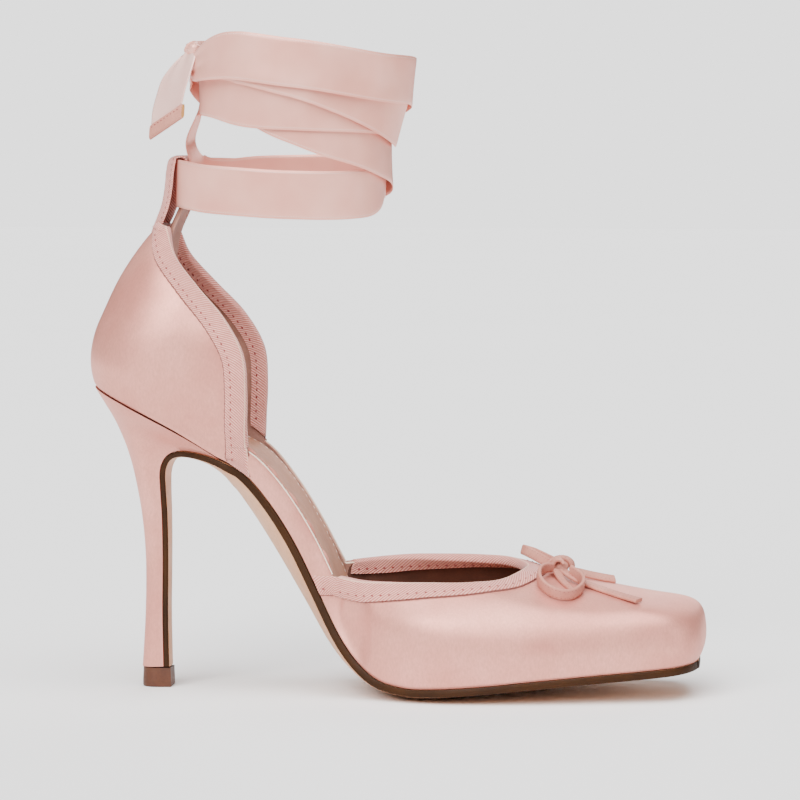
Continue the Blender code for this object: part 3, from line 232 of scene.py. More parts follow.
# Underside of the outsole: how far the middle hangs below its edge, along the foot
DOME = table("x drop",
    (-52, 6), (-44, 6.8), (-34.5, 6.8), (-26.4, 5.6), (-17, 4.4), (-7, 3.5), (4, 3.2), (16, 3.1),
    (30, 2.4), (48, 2), (68, 1.6), (86, 1.2), (105, 0.6))

# The insole: its thickness and how far it stands in from the feather line
INSOLE = table("x thick inset",
    (-106, 5, 1.9), (-80, 5, 1.9), (-60, 6, 1.9), (-48, 6.6, 1.9), (-31, 6.6, 1.9),
    (-26, 6.2, 2.8), (-18, 4.6, 3.2), (-8, 3.3, 3.2), (4, 3, 3.2), (103, 3, 2.6))

# Middle line of the tab that the ribbon runs through, as x and z: up from its foot on the
# back of the counter, over, and down inside
TAB = ((-87.4, 160.4), (-86.4, 163.0), (-85.2, 165.6), (-84.1, 168.4), (-82.6, 174.4),
       (-82.0, 181.0), (-81.5, 184.6), (-80.2, 186.8), (-77.8, 187.2), (-75.9, 186.0),
       (-75.0, 182.5), (-74.9, 178.0), (-75.9, 173.0), (-77.6, 168.4), (-79.3, 165.0),
       (-80.6, 162.0), (-81.6, 159.4), (-82.4, 155.0), (-82.9, 149.0))
TAB_HALF = 9.5
TAB_CURVE = 2.4           # how far the tab's edges stand forward of its middle

# The ribbon from end to end. turn is the angle round the ankle in degrees, from the
# back (0, inside the heel tab) by the outer side: the negative turns go the other way.
# z is its middle, out how far it lies off the ankle, lean how far its top tips inwards.
RIBBON_WIDTH = 16.5
GATHERED_WIDTH = 6.5      # of the ribbon where it runs into the knot
GATHER = 60.0             # degrees of turn over which the ribbon gathers into the knot
RIBBON_THICK, GATHERED_THICK = 0.42, 0.9
RIBBON = table("turn z out lean",
    (-709, 221.6, 5), (-700, 221.4, 5.5), (-692, 221.2, 5.8), (-680, 221.6, 5.7, 3),
    (-660, 221.8, 5.6, 4), (-630, 219.2, 5.6, 4), (-580, 214.2, 5.6), (-540, 213, 5.6, -6),
    (-510, 210.6, 5.6, -2), (-480, 205, 5.5), (-462, 201.6, 5.4), (-455, 200.1, 5.1),
    (-447, 199.8, 2.9), (-438, 201.6, 0.7), (-425, 205.2, 0.3), (-400, 208, 0.2),
    (-360, 213, -0.5), (-340, 213, 0.2), (-310, 211, 0.6), (-297, 208.4, 0.7),
    (-285, 204.8, 0.6), (-272, 200.8, 0.6), (-252, 195.8, 0.8), (-230, 192.3, 0.8),
    (-200, 188, -0.2), (-180, 186, -0.55), (-150, 181.5, 1), (-90, 177.5, 1.5), (-60, 177.5, 3),
    (-45, 177.8, 5), (-30, 178, 7.4), (-15, 177.8, 9.4), (0, 177.6, 11), (15, 177.4, 8.8),
    (35, 176, 4.8), (60, 175, 1.2), (90, 174, 0), (130, 174, 0), (155, 175.4, -1, -3),
    (170, 178.6, -1.7, -5), (180, 180.6, -1.9, -5), (195, 180.6, -1.5, -3), (230, 179.8, 0),
    (270, 179, 0), (300, 178.6, 0.4), (325, 177.6, 1.6), (336, 177.9, 2.9), (346.5, 179, 3.3),
    (353.5, 181.4, 3.5), (357, 185.2, 3.8), (358, 189.2, 5.8), (358.4, 192.4, 6.5),
    (358.8, 196, 5.2), (359.4, 200, 3.7), (360.8, 204.4, 2.7), (364.5, 207.6, 2.4),
    (371, 209.2, 2.4), (382, 209.4, 2.4), (400, 208.6, 2.4), (425, 205.5, 2.3),
    (450, 204.5, 2.2), (490, 203.6, 1.7, -2), (505, 203.2, 1.4, -5), (520, 203, 1.25, -10),
    (540, 203, 1.2, -15), (560, 206, 1.1, -10), (575, 209.4, 1.3, -3), (590, 213, 1.6),
    (610, 217, 1.9), (630, 218.4, 2.1), (660, 217.8, 2.1), (685, 215.4, 2.9), (699, 213.4, 4.5),
    (707, 212.8, 4.8), (722, 212.3, 4.7), (742, 212.4, 4.4), (755, 214.6, 4, 2),
    (768, 219, 3.8, 4), (782, 220.4, 3.8, 4), (796, 218.6, 3.9, 4), (812, 215.6, 3.9, 2),
    (840, 209, 3.8, -2), (862, 203.8, 3.3, -5), (875, 201.2, 2.7, -9), (887, 199.4, 2.1, -12),
    (900, 198.2, 1.8, -15), (915, 200, 1.6, -12), (930, 203.6, 2.1, -6), (945, 207.6, 2.8),
    (960, 212, 3.6), (975, 216.4, 3.7), (990, 218.2, 4.2), (1005, 218.8, 4.7), (1040, 219, 5),
    (1060, 220.6, 6), (1079, 221.8, 6.6),
    defaults=[0])
FAR_TAIL = table("turn z out lean",
    (-3, 210.8, 6.2), (-8, 210.5, 7.5), (-14, 210.4, 8), (-26, 210.4, 7.7), (-38, 209.8, 7),
    (-48, 208.8, 6.8),
    defaults=[0])

# How much of the ribbon is folded away behind it, at its lower and at its upper edge
LOW_TUCKS = table("turn amount",
    (690, 0), (703, 6), (722, 9.6), (744, 9.2), (757, 7.4), (768, 2.6), (782, 0))
HIGH_TUCKS = table("turn amount",
    (-709, 8.2), (-700, 7.6), (-692, 6.2), (-680, 3), (-667, 0.7), (-655, 0))

# Cores of the knots: rings along y, each with its middle and its half sizes in x and z
RIBBON_KNOT = table("y x z half_x half_z",
    (-0.5, -73.6, 224.2, 1.3, 1.6), (-1.5, -73.3, 224.2, 2.3, 2.5), (-4.5, -72.5, 224.2, 3.1, 3),
    (-8, -71.6, 224.3, 3.3, 3), (-11.5, -70.9, 224.3, 3.1, 3), (-14.2, -70.3, 224.2, 2.3, 2.5),
    (-15.2, -70, 224.2, 1.3, 1.6))
BOW_KNOT = table("y x z half_x half_z",
    (3.6, 56.6, 44.4, 1.8, 1.2), (2.6, 56.4, 44.6, 3.2, 2.2), (0, 56.2, 44.9, 4.2, 2.9),
    (-2.4, 56.2, 44.8, 4.2, 2.9), (-4.4, 56.3, 44.4, 3.2, 2.2), (-5.2, 56.4, 44.1, 1.8, 1.2))

# A tail or loop by its middle line, the direction across it and its width
NEAR_TAIL = table("x y z across_x across_y across_z width",
    (-72.6, -11, 223.4, 0.74, -0.38, 0.55, 7.4),
    (-74, -12, 221.2, 0.76, -0.42, 0.49, 12.2),
    (-75.9, -12.6, 217.2, 0.77, -0.46, 0.44, 16.4),
    (-77.5, -13, 212, 0.76, -0.49, 0.43, 17.4),
    (-79, -13.3, 206.6, 0.75, -0.51, 0.43, 17.4),
    (-79.8, -13.4, 201.6, 0.73, -0.53, 0.43, 16.8))
BOW_FAR_LOOP = table("x y z across_x across_y across_z width",
    (53.6, 4.4, 44.9, 0.1, 0.35, 0.93, 3.6),
    (50.6, 7.4, 46.1, 0.16, 0.4, 0.9, 3.8),
    (46.6, 11.6, 47.7, 0.2, 0.42, 0.88, 3.8),
    (43.6, 15.6, 48.6, 0.22, 0.42, 0.88, 3.8),
    (42.8, 18, 48.6, 0.22, 0.42, 0.88, 3.8),
    (44.2, 19.4, 48, 0.22, 0.42, 0.88, 3.8),
    (47.2, 18.4, 47.2, 0.2, 0.42, 0.88, 3.8),
    (51.4, 13.6, 46, 0.18, 0.4, 0.9, 3.8),
    (55.2, 8.2, 45, 0.12, 0.38, 0.91, 3.8),
    (57, 4.6, 44.6, 0.1, 0.35, 0.93, 3.6))
TIP_LENGTH = 4.8          # of the leather ends on the ribbon
BOW_WIDTH = 4.2

# Parts of the bow in plan, with how far the strip's middle stands off the vamp. The near
# loop stands on its edge. Its way back to the knot and the tails lie flat.
BOW_NEAR_LOOP = table("x y lift",
    (53.4, -6.2, 3.3), (50.7, -9.4, 3.2), (49.5, -13.8, 3), (50.4, -18.4, 2.6),
    (53.4, -22.4, 2.5), (57.8, -24.2, 2.5), (62, -22.8, 2.5), (64.6, -18.6, 2.6),
    (64.6, -13.8, 2.8), (62.6, -9.4, 3.2), (59.8, -6.4, 3.8))
BOW_RETURN = table("x y lift",
    (55, -5.6, 2.4), (56.4, -8.6, 1.4), (58, -12, 0.8), (60.4, -16, 0.7), (62.8, -19.6, 0.8))
BOW_NEAR_TAIL = table("x y lift",
    (57, -4.6, 2.8), (60.4, -7.2, 1.7), (64.8, -9.6, 1.1), (71.4, -12.6, 0.8), (78.2, -16, 0.8),
    (84.6, -19.6, 1.2))
BOW_FAR_TAIL = table("x y lift",
    (60.8, 2.6, 1.6), (65.2, 5.4, 1.1), (70, 7.8, 0.9), (74.6, 9.6, 0.9))


# ---------------------------------------------------------------- lines and curves
def unit(v):
    return v / np.linalg.norm(v)


def smooth_step(t):
    t = np.clip(t, 0.0, 1.0)
    return t * t * (3.0 - 2.0 * t)


def round_end(share, power):
    """Width of a rounded end, from 0 at its tip to 1 where it reaches full width."""
    share = np.clip(share, 0.0, 1.0)
    return (1.0 - (1.0 - share) ** power) ** (1.0 / power)


def wave(t, *parts):
    """Sum of a few sines, each (size, turns, phase)."""
    return sum(size * np.sin(math.tau * (turns * t + phase)) for size, turns, phase in parts)


def spline(xs, ys):
    """Smooth curve through points of a function."""
    xs, ys = np.asarray(xs, float), np.asarray(ys, float)
    slopes = np.gradient(ys, xs)

    def value(x):
        x = np.clip(x, xs[0], xs[-1])
        i = np.clip(np.searchsorted(xs, x) - 1, 0, len(xs) - 2)
        span = xs[i + 1] - xs[i]
        t = (x - xs[i]) / span
        leave = t * (1.0 - t) ** 2 * span * slopes[i]
        arrive = t * t * (t - 1.0) * span * slopes[i + 1]
        return ys[i] + (ys[i + 1] - ys[i]) * smooth_step(t) + leave + arrive

    return value


def curves(rows):
    """Each column of a table but the first, as a smooth function of the first."""
    keys, *columns = zip(*rows)
    return {name: spline(keys, column) for name, column in zip(rows[0]._fields[1:], columns)}


def dense(rows, count):
    """The rows of a table, filled in smoothly."""
    wanted = np.linspace(0.0, len(rows) - 1.0, count)
    columns = [spline(range(len(rows)), column)(wanted) for column in zip(*rows)]
    return [type(rows[0])(*row) for row in zip(*columns)]


def clamped_bspline(points, t):
    """Cubic B-spline that starts and ends on its first and last control points."""
    points = np.asarray(points, float)
    knots = np.concatenate([[0.0] * 3, np.linspace(0.0, 1.0, len(points) - 2), [1.0] * 3])
    t = np.clip(np.atleast_1d(t), 0.0, 1.0 - 1e-9)
    basis = [((low <= t) & (t < high)) * 1.0 for low, high in zip(knots, knots[1:])]
    for degree in range(1, 4):
        raised = []
        for i in range(len(basis) - 1):
            left_span = knots[i + degree] - knots[i]
            right_span = knots[i + degree + 1] - knots[i + 1]
            left = (t - knots[i]) / left_span if left_span > 0 else 0.0 * t
            right = (knots[i + degree + 1] - t) / right_span if right_span > 0 else 0.0 * t
            raised.append(left * basis[i] + right * basis[i + 1])
        basis = raised
    return np.array(basis).T @ points


def arc_length(line):
    """Length travelled along a polyline at each of its points."""
    return np.concatenate([[0.0], np.cumsum(np.linalg.norm(np.diff(line, axis=0), axis=1))])


def points_along(line, places, values=None):
    """Points of a polyline at the given lengths along it, or what a list with a value for
    each of its points has there."""
    travelled = arc_length(line)
    columns = np.transpose(line if values is None else values)
    return np.stack([np.interp(places, travelled, column) for column in columns], axis=1)


def resample(line, shares):
    """Points at the given shares of a polyline's length."""
    return points_along(line, np.asarray(shares) * arc_length(line)[-1])


def smoothed(line, times):
    """A line of points, each drawn towards its neighbours a few times over."""
    line = np.array(line)
    for _ in range(times):
        line[1:-1] = (line[:-2] + 2.0 * line[1:-1] + line[2:]) / 4.0
    return line


# ---------------------------------------------------------------- faces of the upper
FEATHER_AT, TOPLINE_AT, LEVEL_AT, COLUMN_AT = (curves(rows) for rows in (
    FEATHER, TOPLINE, COUNTER, VAMP))
dome_drop = curves(DOME)["drop"]
feather_z, feather_crown = FEATHER_AT["z"], FEATHER_AT["crown"]
FEATHER_WIDTH = {NEAR: FEATHER_AT["near"], FAR: FEATHER_AT["far"]}
TOP_WIDTH = {NEAR: TOPLINE_AT["near"], FAR: TOPLINE_AT["far"]}
TOP_HEIGHT = {NEAR: TOPLINE_AT["near_z"], FAR: TOPLINE_AT["far_z"]}


def feather_half(x, side, inset=0.0):
    """Half width of the feather line, or of a line that stands in from its ends."""
    seat = round_end((x - HEEL_BACK_X - inset) / (SEAT_ROUND - inset), 2.0)
    toe = round_end((TOE_X - inset - x) / (TOE_ROUND - inset), 2.6)
    return (FEATHER_WIDTH[side](x) - inset) * seat * toe


def feather_normal(x):
    """Unit normal of the bottom in the X-Z plane, pointing up and forward."""
    return unit(np.array([feather_z(x - 0.5) - feather_z(x + 0.5), 0.0, 1.0]))


def feather_point(x, side):
    return np.array([x, side * feather_half(x, side), feather_z(x)])


def topline_point(x, side):
    half = TOP_WIDTH[side](x) * round_end((THROAT_X - x) / THROAT_ROUND, 2.2)
    return np.array([x, side * half, TOP_HEIGHT[side](x)])


def band_top(x, side):
    """Upper edge of the waist band above a point of the feather line."""
    return feather_point(x, side) + feather_normal(x) * BAND_HEIGHT


def counter_point(level, share, side):
    """Outer face of the counter: share runs from its back (0) to its front edge (1)."""
    row = {name: curve(level) for name, curve in LEVEL_AT.items()}
    x = row["back_x"] + (row["edge_x"] - row["back_x"]) * share
    z = row["back_z"] + (row["edge_z"] - row["back_z"]) * share
    upper = row["width"] + (row["front"] - row["width"]) * smooth_step(share)
    upper = upper * round_end((x - row["back_x"]) / row["round"], 2.0)
    seat, lift = COUNTER[0], smooth_step(level / 0.2)
    seat_x = seat.back_x + (seat.edge_x - seat.back_x) * share
    half = feather_half(seat_x, side) * (1.0 - lift) + upper * lift
    chord = seat.back_z + (seat.edge_z - seat.back_z) * share
    return np.array([x, side * half, z + (feather_z(seat_x) - chord) * (1.0 - level) ** 3])


def half_line(start_x, end_x, point_at, side):
    """A line of the vamp from its rear to the middle of the toe, with points that crowd
    towards the toe."""
    crowded = np.sin(0.5 * math.pi * np.linspace(0.0, 1.0, 400))
    return np.array([point_at(start_x + (end_x - start_x) * t, side) for t in crowded])


VAMP_FOOT = {side: half_line(VAMP_REAR_X, TOE_X, feather_point, side) for side in SIDES}
VAMP_TOP = {side: half_line(TOP_REAR_X, THROAT_X, topline_point, side) for side in SIDES}


def vamp_column(turn, side, heights):
    """Points up one column of the vamp's outer face, from feather line to topline."""
    row = {name: curve(turn) for name, curve in COLUMN_AT.items()}
    foot, ahead, behind = resample(VAMP_FOOT[side],
                                   [turn, min(turn + 0.01, 1.0), max(turn - 0.01, 0.0)])
    top = resample(VAMP_TOP[side], [row["top"]])[0]
    along = (ahead - behind)[:2]
    across = unit(np.array([-along[1], along[0]]) * -side)
    if turn > 0.995:
        across = np.array([1.0, 0.0])
    lean = smooth_step(turn / 0.4)
    out = np.append(unit(across * (1.0 - lean) + unit((foot - top)[:2]) * lean), 0.0)
    upright = min(turn / 0.12, 1.0)
    up = feather_normal(foot[0]) * (1.0 - upright) + np.array([0.0, 0.0, upright])
    crest = top + (foot - top) * [row["crest"], row["crest"], 0.0]
    hull = [foot]
    hull += [foot + out * row[part + "_out"] + up * row[part + "_up"]
             for part in ("bulge", "wall", "shoulder")]
    return clamped_bspline(hull + [crest + [0.0, 0.0, row["crest_rise"]], top], heights)


class VampFace:
    """The vamp's face on one side, on a fine net, for quick points at (turn, height)."""
    TURNS, HEIGHTS = 200, 120

    def __init__(self, side):
        heights = np.linspace(0.0, 1.0, self.HEIGHTS + 1)
        self.net = np.array([vamp_column(turn, side, heights)
                             for turn in np.linspace(0.0, 1.0, self.TURNS + 1)])

    def column(self, turn):
        return self.net[int(round(turn * self.TURNS))]

    def __call__(self, turn, height):
        a = min(max(turn, 0.0), 1.0) * self.TURNS
        b = min(max(height, 0.0), 1.0) * self.HEIGHTS
        i, j = min(int(a), self.TURNS - 1), min(int(b), self.HEIGHTS - 1)
        low, high = self.net[i, j:j + 2], self.net[i + 1, j:j + 2]
        pair = low + (high - low) * (a - i)
        return pair[0] + (pair[1] - pair[0]) * (b - j)


VAMP_FACE = {side: VampFace(side) for side in SIDES}
COUNTER_FACE = {side: lambda level, share, side=side: counter_point(min(level, 1.0),
                                                                    min(share, 1.0), side)
                for side in SIDES}


# ---------------------------------------------------------------- the ankle's windings
ANKLE_X, ANKLE_HALF_LENGTH, ANKLE_HALF_WIDTH = -36.0, 32.0, 27.5
ANKLE_POWER = 2.2         # of its superellipse


def ankle_point(turn, z, out):
    """Point round the ankle, whose section is a superellipse. Up the ankle it moves forward
    and lengthens."""
    rise = float(np.clip((z - 175.0) / 25.0, 0.0, 1.0))
    back, aside = (math.copysign(abs(part) ** (2.0 / ANKLE_POWER), part)
                   for part in (math.cos(math.radians(turn)), math.sin(math.radians(turn))))
    reach = ANKLE_HALF_LENGTH + 1.3 * rise + out
    return np.array([ANKLE_X + 1.7 * rise - reach * back, -(ANKLE_HALF_WIDTH + out) * aside, z])


def wrapped(rows, turns):
    """Middle line and across directions of a ribbon wound by a table."""
    line = curves(sorted(rows))
    middle, outer = (np.array([ankle_point(t, line["z"](t), line["out"](t) + off)
                               for t in turns]) for off in (0.0, 1.0))
    across = []
    for t, along, away in zip(turns, np.gradient(middle, axis=0), outer - middle):
        along = unit(along)
        away = unit(away - along * (away @ along))
        lean = math.radians(line["lean"](t))
        across.append(np.cross(away, along) * math.cos(lean) - away * math.sin(lean))
    return middle, across


# ---------------------------------------------------------------- nets of points
class Net:
    """Grids of points in millimetres, with UVs in millimetres, gathered into one mesh."""

    def __init__(self):
        self.points, self.uvs, self.faces, self.finishes = [], [], [], []

    def face(self, corners, finish, flip=False):
        self.faces.append(corners[::-1] if flip else corners)
        self.finishes.append(finish)

    def grid(self, rows, finish=0, uv=None, flip=False):
        """Quads between rows of points. finish may be a list, one for each row."""
        rows = np.asarray(rows, float)
        deep, wide = rows.shape[:2]
        first = len(self.points)
        self.points.extend(rows.reshape(-1, 3))
        self.uvs.extend(np.asarray(arc_uv(rows) if uv is None else uv).reshape(-1, 2))
        for k in range(deep - 1):
            kind = finish[k] if isinstance(finish, list) else finish
            for a in range(first + k * wide, first + (k + 1) * wide - 1):
                self.face((a, a + 1, a + wide + 1, a + wide), kind, flip)

    def bridge(self, a, b, flip=False):
        """Triangles between two lines with different numbers of points."""
        start, other = len(self.points), len(self.points) + len(a)
        self.points.extend([*a, *b])
        self.uvs.extend(p[[0, 2]] for p in (*a, *b))
        i = j = 0
        while i < len(a) - 1 or j < len(b) - 1:
            step = i < len(a) - 1 and (j == len(b) - 1 or np.linalg.norm(a[i + 1] - b[j])
                                       <= np.linalg.norm(a[i] - b[j + 1]))
            third = start + i + 1 if step else other + j + 1
            self.face((start + i, third, other + j), 0, flip)
            i, j = (i + 1, j) if step else (i, j + 1)

    def cap(self, ring, finish=0):
        centre = np.mean(ring, axis=0)
        first = len(self.points)
        self.points.extend([*ring, centre])
        self.uvs.extend((p - centre)[[1, 2]] + (p - centre)[0] for p in (*ring, centre))
        for i in range(len(ring)):
            self.face((first + i, first + (i + 1) % len(ring), first + len(ring)), finish)

    def loft(self, rings, finish=0, ends=True):
        """Closed skin through rings. finish may be a list, one for each side of a ring."""
        rings = np.asarray(rings, float)
        self.grid(np.concatenate([rings, rings[:, :1]], axis=1).transpose(1, 0, 2), finish)
        for end in (0, -1) if ends else ():
            self.cap(rings[end], 0 if isinstance(finish, list) else finish)
        return self

    def strip(self, rings, uvs, finishes=None):
        """Closed skin through rings with UVs of their own. finishes has one for each ring."""
        rings, uvs = (np.concatenate([part, np.asarray(part)[:, :1]], axis=1)
                      for part in (rings, uvs))
        finishes = finishes or [0] * len(rings)
        self.grid(rings, finishes, uvs)
        for end in (0, -1):
            self.cap(rings[end][:-1], finishes[end])
        return self

    def make(self, name, finishes, slot, node=None, angle=40.0, weld=0.005, heart=None):
        """The net as a piece. heart is a point that the faces of an open net look away from."""
        mesh = bpy.data.meshes.new(name)
        mesh.from_pydata([tuple((p + SHIFT) * MM) for p in self.points], [], self.faces)
        layer = mesh.uv_layers.new(name="mm")
        for face, kind in zip(mesh.polygons, self.finishes):
            face.material_index = kind
            for k in face.loop_indices:
                layer.data[k].uv = self.uvs[mesh.loops[k].vertex_index]
        work = bmesh.new()
        work.from_mesh(mesh)
        bmesh.ops.remove_doubles(work, verts=work.verts, dist=weld * MM)
        bmesh.ops.dissolve_degenerate(work, edges=work.edges, dist=weld * MM)
        bmesh.ops.recalc_face_normals(work, faces=work.faces)
        if heart is not None:
            facing = sum(f.normal.dot(f.calc_center_median() - at(*heart)) for f in work.faces)
            if facing < 0.0:
                bmesh.ops.reverse_faces(work, faces=work.faces)
        work.to_mesh(mesh)
        work.free()
        for finish in finishes:
            mesh.materials.append(finish)
        mesh.shade_smooth()
        mesh.set_sharp_from_angle(angle=math.radians(angle))
        made = linked(name, mesh)
        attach(made, "root")
        if node:
            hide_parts(node)
        return made


def arc_uv(rows):
    """UVs of a grid in millimetres along its rows (u) and across them (v)."""
    along = np.linalg.norm(np.diff(rows, axis=1), axis=2).mean(axis=0)
    down = np.linalg.norm(np.diff(rows, axis=0), axis=2).mean(axis=1)
    return np.stack(np.meshgrid(*(np.append(0.0, np.cumsum(part)) for part in (along, down))),
                    axis=2)


# ---------------------------------------------------------------- finishes
def tone(red, green, blue):
    """A colour as it looks on a screen, 0 to 255, as linear light."""
    return tuple(((c / 255.0 + 0.055) / 1.055) ** 2.4 if c > 10 else c / 3294.6
                 for c in (red, green, blue))


def dim(colour, share):
    return tuple(share * c for c in colour)


class Finish:
    """A Principled material and short ways to build its nodes."""

    def __init__(self, name, roughness, **constants):
        self.made = bpy.data.materials.new(name)
        self.made.use_nodes = True
        self.tree = self.made.node_tree
        self.shader = self.tree.nodes["Principled BSDF"]
        self.shader.inputs["Roughness"].default_value = roughness
        for key, value in constants.items():
            self.shader.inputs[key.replace("_", " ")].default_value = value
        self.bumps = None

    def node(self, kind, inputs, **settings):
        made = self.tree.nodes.new(kind)
        for key, value in settings.items():
            setattr(made, key, value)
        for key, value in inputs.items():
            if isinstance(value, bpy.types.NodeSocket):
                self.tree.links.new(value, made.inputs[key])
            elif value is not None:
                made.inputs[key].default_value = value
        return made

    def math(self, kind, *values):
        made = self.node("ShaderNodeMath", dict(enumerate(values)), operation=kind)
        return made.outputs[0]

    def times(self, a, b):
        return self.math("MULTIPLY", a, b)

    def place(self):
        return self.node("ShaderNodeTexCoord", {}).outputs["Object"]

    def uv(self):
        marks = self.node("ShaderNodeUVMap", {}, uv_map="mm").outputs[0]
        return self.node("ShaderNodeSeparateXYZ", {0: marks}).outputs[:2]

    def noise(self, scale, detail=2.0, rough=0.5, stretch=None):
        vector = self.place()
        if stretch:
            vector = self.node("ShaderNodeVectorMath", {0: vector, 1: stretch},
                               operation="MULTIPLY").outputs[0]
        return self.node("ShaderNodeTexNoise", {"Vector": vector, "Scale": scale,
                                                "Detail": detail, "Roughness": rough}).outputs[0]

    def ridges(self, slope, pitch):
        """Ribs across the UVs: slope is how far they run along for each step across."""
        u, v = self.uv()
        line = self.math("ADD", self.times(u, slope[0]), self.times(v, slope[1]))
        ribs = self.math("SINE", self.times(line, math.tau / pitch))
        return self.times(self.math("ADD", ribs, 1.0), 0.5)

    def spread(self, value, low, high, to=(0.0, 1.0)):
        """A value that runs from low to high, as one that runs between the ends of to."""
        return self.node("ShaderNodeMapRange",
                         {0: value, 1: low, 2: high, 3: to[0], 4: to[1]}).outputs[0]

    def mix(self, factor, a, b):
        a, b = (c if isinstance(c, bpy.types.NodeSocket) else (*c, 1.0) for c in (a, b))
        return self.node("ShaderNodeMix", {0: factor, 6: a, 7: b}, data_type="RGBA").outputs[2]

    def veil(self, base, mask, share, colour):
        """base with a share of another colour over it where the mask is."""
        return self.mix(self.times(mask, share), base, colour)

    def colour(self, value):
        self.tree.links.new(value, self.shader.inputs["Base Color"])

    def bump(self, height, depth, strength=1.0):
        """Raise the surface by height times depth millimetres."""
        made = self.node("ShaderNodeBump", {"Height": height, "Distance": depth * MM,
                                            "Strength": strength, "Normal": self.bumps})
        self.bumps = made.outputs[0]
        self.tree.links.new(self.bumps, self.shader.inputs["Normal"])

    def rough(self, scale, low, high):
        """Roughness that wanders between two values."""
        self.tree.links.new(self.spread(self.noise(scale), 0.0, 1.0, (low, high)),
                            self.shader.inputs["Roughness"])


def satin_finish(name, light, shade):
    """Duchess satin: fine floats one way, a soft sheen and slight mottling."""
    f = Finish(name, 0.36, Metallic=0.42, Specular_IOR_Level=0.6, Anisotropic=0.35,
               Specular_Tint=(1.0, 0.78, 0.72, 1.0))
    fleck = f.noise(1500.0, 2.0, 0.6, (1.0, 1.0, 0.45))
    base = f.mix(f.spread(f.noise(38.0, 3.0, 0.55), 0.3, 0.7), shade, light)
    f.colour(f.veil(base, f.spread(fleck, 0.28, 0.72), 0.34, dim(shade, 0.66)))
    f.bump(f.times(f.ridges((1.0, 0.0), 0.55), f.ridges((0.35, 1.0), 0.9)), 0.02, 0.6)
    f.bump(f.noise(260.0, 3.0, 0.6), 0.05, 0.5)
    f.bump(fleck, 0.03, 0.6)
    f.rough(120.0, 0.34, 0.5)
    return f.made


def grosgrain_finish(name, light, shade, slope, folded=True):
    """Ribbed bias-cut binding tape, with a painted highlight along the fold that it has on an edge.
    """
    f = Finish(name, 0.62, Sheen_Weight=0.3, Sheen_Roughness=0.45, Specular_IOR_Level=0.3)
    ribs = f.ridges(slope, 0.72)
    # The ribs' own colour with painted shade in their grooves: the darker colour follows the same
    # ribs as the bump.
    base = f.mix(ribs, shade, light)
    base = f.veil(base, f.spread(f.noise(420.0, 3.0), 0.35, 0.65), 0.18, dim(shade, 0.78))
    # Painted highlight: a cream band along the fold of a tape that is folded over an edge.
    if folded:
        off = f.math("ABSOLUTE", f.math("SUBTRACT", f.uv()[1], BINDING_WIDTH + GAP))
        base = f.veil(base, f.spread(off, 0.34, 0.12), 0.6, tone(250, 214, 184))
    f.colour(base)
    f.bump(ribs, 0.2)
    f.bump(f.ridges((-0.8, 1.0), 0.34), 0.03, 0.5)
    return f.made


def ribbon_finish(name, light, shade):
    """Woven ribbon: satin face, with a dotted selvedge just inside both edges."""
    f = Finish(name, 0.4, Metallic=0.25, Specular_IOR_Level=0.5, Anisotropic=0.4,
               Specular_Tint=(1.0, 0.8, 0.74, 1.0))
    base = f.mix(f.spread(f.noise(60.0), 0.32, 0.68), shade, light)
    rise = f.math("ABSOLUTE", f.uv()[1])
    selvedge = f.times(f.spread(rise, 7.3, 7.4), f.spread(rise, 7.75, 7.65))
    dots = f.times(selvedge, f.ridges((1.0, 0.0), 0.9))
    base = f.veil(base, selvedge, 0.25, dim(shade, 0.75))
    f.colour(f.veil(base, dots, 0.6, tone(250, 216, 204)))
    f.bump(f.ridges((1.0, 0.0), 0.42), 0.018, 0.5)
    f.bump(dots, 0.06, 0.8)
    f.bump(f.noise(900.0, 2.0, 0.6, (1.0, 1.0, 0.4)), 0.025, 0.5)
    f.rough(150.0, 0.3, 0.48)
    return f.made


def leather_finish(name, light, shade, roughness=0.5, grain=420.0, depth=0.05, gloss=0.4):
    """Leather or rubber: cells and clouds of one grain."""
    f = Finish(name, roughness, Specular_IOR_Level=gloss)
    base = f.mix(f.spread(f.noise(grain * 0.16, 4.0, 0.6), 0.3, 0.7), shade, light)
    f.colour(f.veil(base, f.spread(f.noise(grain * 3.0, 3.0), 0.4, 0.7), 0.3, dim(shade, 0.75)))
    cells = f.node("ShaderNodeTexVoronoi", {"Vector": f.place(), "Scale": grain * 2.2})
    f.bump(cells.outputs[0], depth, 0.5)
    f.bump(f.noise(grain, 4.0, 0.6), depth * 1.4, 0.5)
    f.rough(grain * 0.5, 0.75 * roughness, 1.25 * roughness)
    return f.made


def thread_finish(name, light, shade):
    f = Finish(name, 0.55, Sheen_Weight=0.3, Specular_IOR_Level=0.3)
    f.colour(f.mix(f.noise(2600.0), shade, light))
    f.bump(f.noise(3000.0, 1.0), 0.04, 0.6)
    return f.made


SATIN = satin_finish("satin_cloth", tone(238, 166, 150), tone(216, 141, 126))
# Painted shade: the vamp's lining is a much darker copy of the lining, for the shade inside the toe
VAMP_LINING_PAINTED_SHADE = leather_finish("vamp_lining_painted_shade", tone(98, 60, 46), tone(74, 44, 34), 0.7, 500.0)
LINING = leather_finish("lining_cloth", tone(176, 128, 112), tone(140, 96, 82), 0.6, 500.0)
TURNED_EDGE = leather_finish("turned_edge", tone(240, 214, 190), tone(222, 186, 158))
# Tape colour on the ribs, and the darker painted shade in the grooves between them
TAPE = tone(244, 182, 168), tone(196, 108, 96)
VAMP_TAPE = grosgrain_finish("vamp_tape_cloth", *TAPE, (0.54, -0.84))
COUNTER_TAPE = grosgrain_finish("counter_tape_cloth", *TAPE, (0.72, 0.69))
TAB_TAPE = grosgrain_finish("tab_tape_cloth", *TAPE, (0.8, 0.6), folded=False)
THREAD = thread_finish("rose_thread", tone(158, 62, 60), tone(104, 36, 36))
